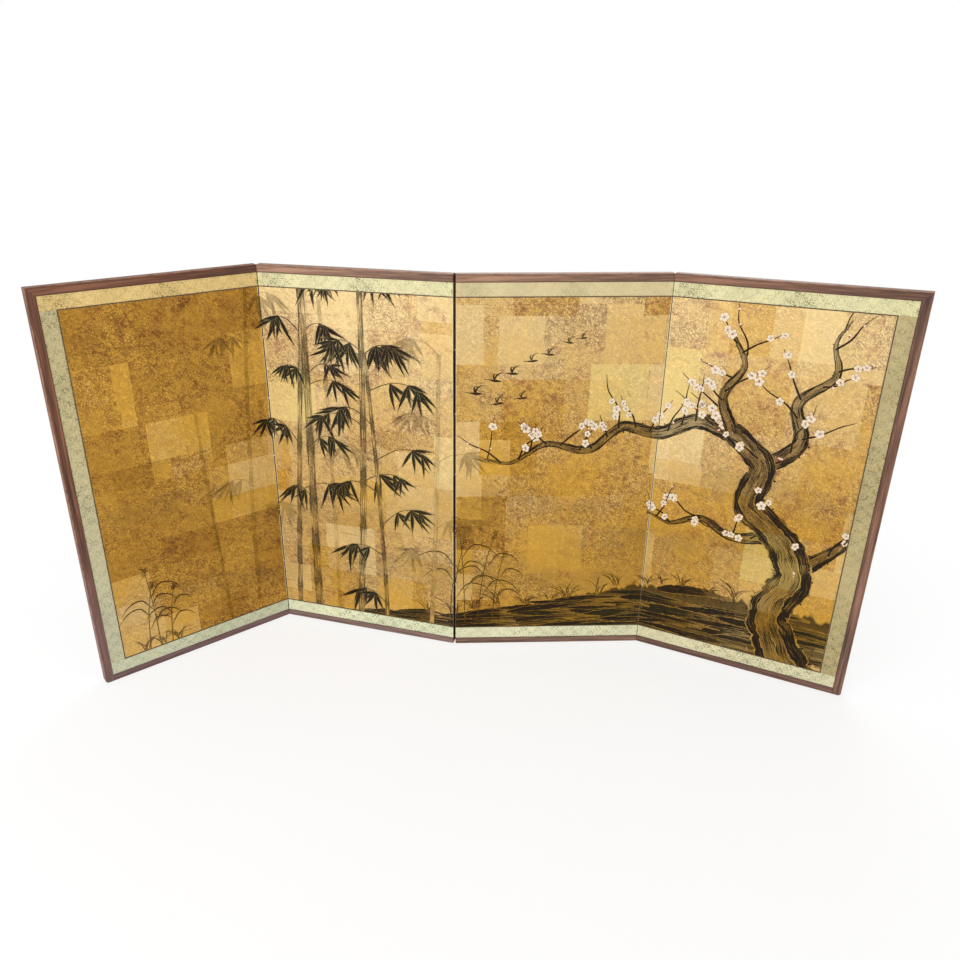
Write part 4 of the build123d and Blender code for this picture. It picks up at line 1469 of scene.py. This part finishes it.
def bough(painting, stops, ink, wash):
    """A gnarled limb: a wash for its roundness, then dry dark strokes along it and knots on its edges."""
    painting.stroke([[*stop[:3], 0.10] for stop in stops], wash, 0.85, middle=0.75, ragged=0.10)
    line = smooth_path([stop[:3] for stop in stops], 0.02)
    side = left_of(line[:, :2])
    for offset, share, dry in BARK_STROKES:
        wander = offset + 0.10 * painting.random.uniform(-1, 1, len(line))
        spots = line[:, :2] + side * (line[:, 2] * wander)[:, None]
        widths = np.maximum(line[:, 2] * share, 0.5 * MM)
        dryness = np.clip(dry + 0.14 * painting.random.uniform(-1, 1, len(line)), 0.05, 0.9)
        bark = np.column_stack([spots, widths, dryness])
        painting.stroke(bark, ink, 0.97, ragged=0.22, step=0.008, over_wash=True)
    for _ in range(int(len(line) * 0.9)):
        index = painting.random.randint(1, len(line) - 1)
        edge = 1 if painting.between(0, 1) > 0.5 else -1
        spot = line[index, :2] + side[index] * line[index, 2] * edge * painting.between(0.85, 1.15)
        dot = painting.between(1.6, 3.6) * MM * (0.6 + 12 * line[index, 2])
        painting.dab(spot, dot, ink, 0.96, flat=painting.between(0.5, 0.9), turn=painting.between(0, 3))


def blossom(painting, centre, size, colours):
    """An open flower: five petals, a fine outline, and stamens with dark tips."""
    petal, bud, ink = tuple(colours.blossom), tuple(colours.bud), tuple(colours.ink)
    facing, flat = painting.between(0, 2 * math.pi), painting.between(0.6, 1.0)
    cosine, sine = math.cos(facing), math.sin(facing)

    def spot(angle, radius):
        across, up = radius * math.cos(angle), radius * math.sin(angle) * flat
        return centre + np.array([across * cosine - up * sine, across * sine + up * cosine])

    first_layer = painting.layer
    for lift, share, pigment, coverage, oval in ((0, 0.50, ink, 0.55, 0.92), (2, 0.45, petal, 0.97, 0.9)):
        for number in range(5):
            angle = number * 2 * math.pi / 5
            middle, turn = spot(angle, size * 0.52), facing + angle
            painting.layer = first_layer + lift + number % 2
            painting.dab(middle, size * share, pigment, coverage, flat=oval, turn=turn, sides=11)
    painting.layer = first_layer + 4
    painting.dab(centre, size * 0.17, bud, 0.75, sides=8)
    for number in range(7):
        angle = number * 2 * math.pi / 7 + 0.3
        tip = spot(angle, size * painting.between(0.40, 0.58))
        painting.layer = first_layer + 5
        stamen = [[*centre, 0.16 * MM], [*((centre + tip) / 2), 0.15 * MM], [*tip, 0.14 * MM]]
        painting.stroke(stamen, ink, 0.85, step=0.004)
        painting.layer = first_layer + 6
        painting.dab(tip, 0.45 * MM, tint(150, 96, 26), 0.95, sides=5)
    painting.layer = first_layer + 1


def plum_bud(painting, centre, heading, size, colours):
    """A closed bud: a pale ball in a red cup."""
    ahead, _ = directions(heading)
    painting.dab(centre + ahead * size * 0.5, size * 0.62, tuple(colours.blossom), 0.95, sides=10)
    painting.dab(centre, size * 0.42, tuple(colours.bud), 0.95, sides=8)


def plum_twig(painting, root, heading, reach, half, colours, flowers):
    """A young shoot, nearly straight, that carries flowers and buds."""
    ahead, across = directions(heading)
    kink = painting.between(-0.09, 0.09) * reach
    stops = [
        [*root, half],
        [*(root + ahead * reach * 0.35 + across * kink), half * 0.75],
        [*(root + ahead * reach * 0.7 - across * kink * 0.4), half * 0.5],
        [*(root + ahead * reach), half * 0.18],
    ]
    painting.stroke(stops, tuple(colours.ink), 0.97, dry=0.12, ragged=0.14)
    first_layer = painting.layer
    for number in range(flowers):
        share = painting.between(0.22, 0.98)
        spot = root + ahead * reach * share + across * painting.between(-5, 5) * MM
        painting.layer = first_layer + number % 3 * 8
        if painting.between(0, 1) > 0.38:
            blossom(painting, spot, painting.between(8.0, 11.5) * MM, colours)
        else:
            bud_heading, size = heading + painting.between(-1, 1), painting.between(3.6, 5.2) * MM
            plum_bud(painting, spot, bud_heading, size, colours)
    painting.layer = first_layer + 2


def draw_plum(colours):
    """An old plum that leans in from the right and sends a long branch over two panels."""
    painting = Painting(SEEDS["plum"])
    ink, wash = tuple(colours.ink), toned(colours.wash, 0.55)
    # Each limb's stops: place across and up, and half width
    trunk = [
        [1.735, 0.000, 0.060],
        [1.700, 0.075, 0.051],
        [1.664, 0.168, 0.044],
        [1.700, 0.270, 0.040],
        [1.655, 0.365, 0.036],
        [1.585, 0.425, 0.033],
        [1.600, 0.520, 0.028],
        [1.530, 0.590, 0.024],
    ]
    long_branch = [
        [1.540, 0.585, 0.023],
        [1.450, 0.600, 0.018],
        [1.372, 0.560, 0.015],
        [1.290, 0.575, 0.012],
        [1.215, 0.520, 0.0095],
        [1.120, 0.535, 0.007],
        [1.040, 0.490, 0.0045],
        [0.965, 0.505, 0.002],
    ]
    high_branch = [
        [1.600, 0.515, 0.020],
        [1.668, 0.585, 0.016],
        [1.650, 0.670, 0.012],
        [1.712, 0.735, 0.008],
        [1.700, 0.800, 0.0045],
        [1.722, 0.850, 0.0012],
    ]
    right_branch = [
        [1.672, 0.262, 0.026],
        [1.722, 0.306, 0.019],
        [1.772, 0.352, 0.013],
        [1.830, 0.440, 0.009],
    ]
    left_branch = [
        [1.655, 0.362, 0.017],
        [1.560, 0.340, 0.011],
        [1.490, 0.372, 0.008],
        [1.420, 0.345, 0.005],
        [1.365, 0.362, 0.002],
    ]
    crown = [[1.530, 0.588, 0.014], [1.500, 0.665, 0.010], [1.535, 0.735, 0.007], [1.505, 0.800, 0.003]]
    for limb in (right_branch, high_branch, left_branch, long_branch, crown, trunk):
        bough(painting, limb, ink, wash)
    painting.layer += 4
    # Each limb's twigs: how many, and the lowest and highest heading in degrees
    for limb, count, low, high in (
        (long_branch, 17, 35, 150),
        (high_branch, 9, 15, 165),
        (left_branch, 8, -20, 160),
        (right_branch, 5, 30, 150),
        (crown, 8, 20, 160),
        (trunk, 4, 60, 170),
    ):
        line = smooth_path(limb, 0.01)
        for number in range(count):
            index = int((number + 0.6) / count * (len(line) - 1))
            heading = math.radians(painting.between(low, high))
            reach = painting.between(0.055, 0.135)
            half = min(0.5 * line[index, 2] + 0.6 * MM, 2.4 * MM)
            painting.layer = FIRST_TWIG_LAYER + (number % 4) * TWIG_LAYERS
            plum_twig(painting, line[index, :2], heading, reach, half, colours, painting.random.randint(2, 5))
    return painting


# ---------------------------------------------------------------- geese


def goose(painting, centre, size, heading, ink):
    """A flying goose seen from the side: neck, body and two raised wings."""
    ahead, left = directions(heading)
    up = left * (1 if ahead[0] > 0 else -1)

    def stop(forward, raised, half):
        return [*(centre + ahead * size * forward + up * size * raised), half * size]

    body = [stop(0.95, 0.05, 0.03), stop(0.55, 0.04, 0.045), stop(0.15, 0, 0.12), stop(-0.22, 0, 0.10)]
    painting.stroke([*body, stop(-0.50, 0, 0.02)], ink, 0.95, step=0.003)
    for spread, lift in ((0.30, 0.62), (-0.18, 0.74)):
        wing = [
            stop(0.12, 0, 0.06),
            stop(0.10 + spread * 0.4, lift * 0.55, 0.085),
            stop(spread - 0.10, lift * 0.95, 0.05),
            stop(spread - 0.42, lift, 0.006),
        ]
        painting.stroke(wing, ink, 0.95, dry=0.1, step=0.003)


def draw_geese(colours):
    """A loose line of geese, high over the middle panels."""
    painting = Painting(SEEDS["geese"])
    ink = tuple(colours.ink)
    # Each goose's place across and up, and its size
    flock = (
        (0.960, 0.655, 0.026),
        (1.002, 0.684, 0.025),
        (1.040, 0.700, 0.024),
        (1.082, 0.728, 0.022),
        (1.118, 0.742, 0.021),
        (1.010, 0.632, 0.023),
        (1.062, 0.644, 0.021),
        (1.160, 0.768, 0.018),
        (1.190, 0.778, 0.017),
    )
    for across, up, size in flock:
        goose(painting, np.array([across, up]), size, math.pi - painting.between(-0.22, 0.12), ink)
    return painting


# ---------------------------------------------------------------- operators

MOULDING_PIECES = ("top_moulding", "foot_moulding", "side_moulding")


class SCREEN_OT_mouldings(bpy.types.Operator):
    """Finishes the top, foot and side mouldings in dark lacquered wood."""

    bl_idname = "folding_screen.mouldings"
    bl_label = "Mouldings"

    def execute(self, context):
        colours, sizes = context.scene.screen_colours, context.scene.screen_sizes
        for panel in PANELS:
            for piece in MOULDING_PIECES:
                name = f"{panel.body}_{piece}"
                if name in frame["nodes"]:
                    dress(name, moulding_wood(panel, piece, colours, sizes))
        return {"FINISHED"}


class SCREEN_OT_core(bpy.types.Operator):
    """Finishes the hidden core frame and lattice in planed softwood."""

    bl_idname = "folding_screen.core"
    bl_label = "Core and Lattice"

    def execute(self, context):
        for panel in PANELS:
            uprights = core_softwood(panel, True, context.scene.screen_colours)
            crossbars = core_softwood(panel, False, context.scene.screen_colours)
            for piece, material in (
                ("core_stiles", uprights),
                ("lattice_uprights", uprights),
                ("core_rails", crossbars),
                ("lattice_crossbars", crossbars),
            ):
                dress(f"{panel.body}_{piece}", material)
        return {"FINISHED"}


class SCREEN_OT_nails(bpy.types.Operator):
    """Finishes the moulding nails in dull steel."""

    bl_idname = "folding_screen.nails"
    bl_label = "Moulding Nails"

    def execute(self, context):
        steel = nail_steel(context.scene.screen_colours)
        for panel in PANELS:
            dress(f"{panel.body}_moulding_nails", steel)
        return {"FINISHED"}


class SCREEN_OT_brocade(bpy.types.Operator):
    """Makes the border strips of figured brocade."""

    bl_idname = "folding_screen.brocade"
    bl_label = "Brocade Borders"

    # Painted light and sheen on each strip of the one cloth: what scales its red, green and blue, and how
    # clearly its figure shows through the painted sheen
    strips = {
        (1, "top_brocade"): ((1.18, 0.95, 0.62), 0.95),
        (2, "top_brocade"): ((1.14, 1.18, 1.15), 1.00),
        (3, "top_brocade"): ((0.96, 0.90, 0.85), 0.45),
        (4, "top_brocade"): ((1.12, 1.16, 1.11), 1.00),
        (1, "foot_brocade"): ((1.06, 1.18, 1.28), 0.80),
        (2, "foot_brocade"): ((1.20, 1.40, 1.66), 0.90),
        (3, "foot_brocade"): ((1.20, 1.34, 1.56), 0.75),
        (4, "foot_brocade"): ((1.18, 1.24, 1.36), 0.90),
        (1, "side_brocade"): ((0.90, 0.86, 0.76), 0.95),
        (4, "side_brocade"): ((0.76, 0.69, 0.56), 0.80),
    }

    def execute(self, context):
        colours, sizes = context.scene.screen_colours, context.scene.screen_sizes
        for (number, strip), (scaling, contrast) in self.strips.items():
            panel = PANELS[number - 1]
            cloth = figured_brocade(panel, strip, colours, sizes, scaling, contrast)
            make_stretched_sheet(panel, strip, cloth, BROCADE_GRID, BROCADE_PUCKER)
        return {"FINISHED"}


class SCREEN_OT_fillets(bpy.types.Operator):
    """Finishes the narrow dark fillets round the painted field."""

    bl_idname = "folding_screen.fillets"
    bl_label = "Fillets"

    def execute(self, context):
        for panel in PANELS:
            dress(f"{panel.body}_fillets", fillet_strip(panel, context.scene.screen_colours))
        return {"FINISHED"}


class SCREEN_OT_back_papers(bpy.types.Operator):
    """Makes the stretched back papers of plain fibrous paper."""

    bl_idname = "folding_screen.back_papers"
    bl_label = "Back Papers"

    def execute(self, context):
        for panel in PANELS:
            paper = plain_back_paper(panel, context.scene.screen_colours)
            make_stretched_sheet(
                panel, "back_paper", paper, BACK_GRID, BACK_SLACK, behind=True
            )
        return {"FINISHED"}


class SCREEN_OT_hinge_strips(bpy.types.Operator):
    """Makes the cloth strips that join the panels across the folds."""

    bl_idname = "folding_screen.hinge_strips"
    bl_label = "Hinge Strips"

    def execute(self, context):
        material = hinge_cloth(context.scene.screen_colours)
        for left, right in zip(PANELS, PANELS[1:]):
            fold = Fold(left, right)
            for number, (low, high) in enumerate(fold.sections):
                make_hinge_strip(fold, number, low, high, material)
        return {"FINISHED"}


class SCREEN_OT_gilt_papers(bpy.types.Operator):
    """Makes the stretched gilt papers, with their washes of mist."""

    bl_idname = "folding_screen.gilt_papers"
    bl_label = "Gilt Papers"

    def execute(self, context):
        colours = context.scene.screen_colours
        group = leaf_group(colours, context.scene.screen_sizes)
        for panel in PANELS:
            make_gilt_paper(panel, gilt_paper(panel, group, colours), colours)
            brushwork(panel, group)
        return {"FINISHED"}


class SCREEN_OT_bamboo(bpy.types.Operator):
    """Paints the bamboo across the first fold."""

    bl_idname = "folding_screen.bamboo"
    bl_label = "Bamboo"

    def execute(self, context):
        draw_bamboo(context.scene.screen_colours).hang("bamboo")
        return {"FINISHED"}


class SCREEN_OT_water(bpy.types.Operator):
    """Paints the ripples on the water."""

    bl_idname = "folding_screen.water"
    bl_label = "Water"

    def execute(self, context):
        draw_water(context.scene.screen_colours).hang("ripples")
        return {"FINISHED"}


class SCREEN_OT_bank(bpy.types.Operator):
    """Paints the grassy bank and the reeds."""

    bl_idname = "folding_screen.bank"
    bl_label = "Bank and Reeds"

    def execute(self, context):
        draw_bank(context.scene.screen_colours).hang("bank")
        return {"FINISHED"}


class SCREEN_OT_plum(bpy.types.Operator):
    """Paints the plum tree with its blossom."""

    bl_idname = "folding_screen.plum"
    bl_label = "Plum Tree"

    def execute(self, context):
        draw_plum(context.scene.screen_colours).hang("plum")
        return {"FINISHED"}


class SCREEN_OT_geese(bpy.types.Operator):
    """Paints the flying geese."""

    bl_idname = "folding_screen.geese"
    bl_label = "Geese"

    def execute(self, context):
        draw_geese(context.scene.screen_colours).hang("geese")
        return {"FINISHED"}


# ---------------------------------------------------------------- stage


def add_lamp(name, place, width, height, watts):
    """A soft rectangular lamp that the camera doesn't see, turned to the screen's middle."""
    data = bpy.data.lights.new(name, "AREA")
    data.shape = "RECTANGLE"
    data.size = width
    data.size_y = height
    data.energy = watts
    lamp = bpy.data.objects.new(name, data)
    lamp.location = place
    lamp.rotation_euler = (Vector(LAMP_TARGET) - Vector(place)).to_track_quat("-Z", "Y").to_euler()
    lamp.visible_camera = False
    bpy.context.scene.collection.objects.link(lamp)


def seen_directly(nodes):
    """1 for rays from the camera, off gloss or through glass, and 0 for light that falls on the screen."""
    rays = nodes.add("ShaderNodeLightPath").outputs
    seen = nodes.math("MAXIMUM", rays["Is Camera Ray"], rays["Is Glossy Ray"])
    return nodes.math("MAXIMUM", seen, rays["Is Transmission Ray"])


def make_world():
    """White to the eye, and a plain grey sky for the light."""
    world = bpy.data.worlds.new("studio")
    world.use_nodes = True
    nodes = Nodes(world.node_tree)
    nodes.tree.nodes.clear()
    strength = nodes.ease(seen_directly(nodes), 0.0, 1.0, SKY_STRENGTH, 1.0)
    background = nodes.add("ShaderNodeBackground", {"Color": (1.0, 1.0, 1.0), "Strength": strength})
    nodes.add("ShaderNodeOutputWorld", {"Surface": background.outputs[0]})
    bpy.context.scene.world = world


def floor_material():
    """Pale floor that shows as white and keeps the shadow."""
    material = bpy.data.materials.new("studio_floor")
    material.use_nodes = True
    nodes = Nodes(material.node_tree)
    nodes.tree.nodes.clear()
    place = nodes.add("ShaderNodeTexCoord").outputs["Object"]
    across, back, _ = nodes.split(place)
    distance = nodes.math("SQRT", nodes.plus(nodes.times(across, across), nodes.times(back, back)))
    greys = nodes.ramp(nodes.noise(place, 3.0, 3.0), [(0.0, (0.86, 0.86, 0.86)), (1.0, (0.90, 0.90, 0.90))])
    matt = nodes.add("ShaderNodeBsdfDiffuse", {"Color": greys})
    strength = nodes.ease(distance, 1.2, 3.0, FLOOR_GLOW, 1.0)
    glow = nodes.add("ShaderNodeEmission", {"Color": (1.0, 1.0, 1.0), "Strength": strength})
    whiteness = nodes.times(seen_directly(nodes), nodes.ease(distance, 0.9, 3.0, FLOOR_WHITENESS, 1.0))
    both = nodes.add("ShaderNodeMixShader", (whiteness, matt.outputs[0], glow.outputs[0]))
    nodes.add("ShaderNodeOutputMaterial", {"Surface": both.outputs[0]})
    return material


class SCREEN_OT_stage(bpy.types.Operator):
    """Makes the camera, the floor, the lamps and the world."""

    bl_idname = "folding_screen.stage"
    bl_label = "Stage"

    def execute(self, context):
        scene = context.scene
        camera = bpy.data.objects.new("camera", bpy.data.cameras.new("camera"))
        camera.location = CAMERA_PLACE
        camera.rotation_euler = (math.radians(CAMERA_PITCH), 0.0, math.radians(CAMERA_YAW))
        camera.data.lens = CAMERA_LENS
        camera.data.shift_x, camera.data.shift_y = CAMERA_SHIFT
        scene.collection.objects.link(camera)
        scene.camera = camera

        mesh = bpy.data.meshes.new("floor")
        corners = ((-1, -1), (1, -1), (1, 1), (-1, 1))
        vertices = [(FLOOR_REACH * across, FLOOR_REACH * back, FLOOR_LEVEL) for across, back in corners]
        mesh.from_pydata(vertices, [], [(0, 1, 2, 3)])
        mesh.materials.append(floor_material())
        floor = bpy.data.objects.new("floor", mesh)
        scene.collection.objects.link(floor)

        make_world()
        for name, lamp in LAMPS.items():
            add_lamp(name, *lamp)
        scene.view_settings.view_transform = "Standard"
        return {"FINISHED"}


# ---------------------------------------------------------------- sidebar and registration

OPERATORS = (
    SCREEN_OT_stage,
    SCREEN_OT_mouldings,
    SCREEN_OT_core,
    SCREEN_OT_nails,
    SCREEN_OT_brocade,
    SCREEN_OT_fillets,
    SCREEN_OT_back_papers,
    SCREEN_OT_hinge_strips,
    SCREEN_OT_gilt_papers,
    SCREEN_OT_bamboo,
    SCREEN_OT_water,
    SCREEN_OT_bank,
    SCREEN_OT_plum,
    SCREEN_OT_geese,
)


class SCREEN_PT_finish(bpy.types.Panel):
    """Lists the screen's colours, sizes and steps in the sidebar."""

    bl_idname = "SCREEN_PT_finish"
    bl_label = "Folding Screen"
    bl_space_type = "VIEW_3D"
    bl_region_type = "UI"
    bl_category = "Screen"

    def draw(self, context):
        for settings in (context.scene.screen_sizes, context.scene.screen_colours):
            column = self.layout.column(align=True)
            for name in settings.__annotations__:
                column.prop(settings, name)
        for operator in OPERATORS:
            self.layout.operator(operator.bl_idname)


CLASSES = (ScreenColours, ScreenSizes, *OPERATORS, SCREEN_PT_finish)


def register():
    for item in CLASSES:
        bpy.utils.register_class(item)
    bpy.types.Scene.screen_colours = PointerProperty(type=ScreenColours)
    bpy.types.Scene.screen_sizes = PointerProperty(type=ScreenSizes)


def unregister():
    del bpy.types.Scene.screen_sizes
    del bpy.types.Scene.screen_colours
    for item in reversed(CLASSES):
        bpy.utils.unregister_class(item)


def main():
    """Makes the stage, dresses the frame and hangs the painted papers."""
    register()
    screen = bpy.ops.folding_screen
    screen.stage()
    screen.mouldings()
    screen.core()
    screen.nails()
    screen.fillets()
    screen.back_papers()
    screen.gilt_papers()
    screen.brocade()
    screen.hinge_strips()
    screen.bamboo()
    screen.water()
    screen.bank()
    screen.plum()
    screen.geese()


if __name__ == "__main__":
    main()
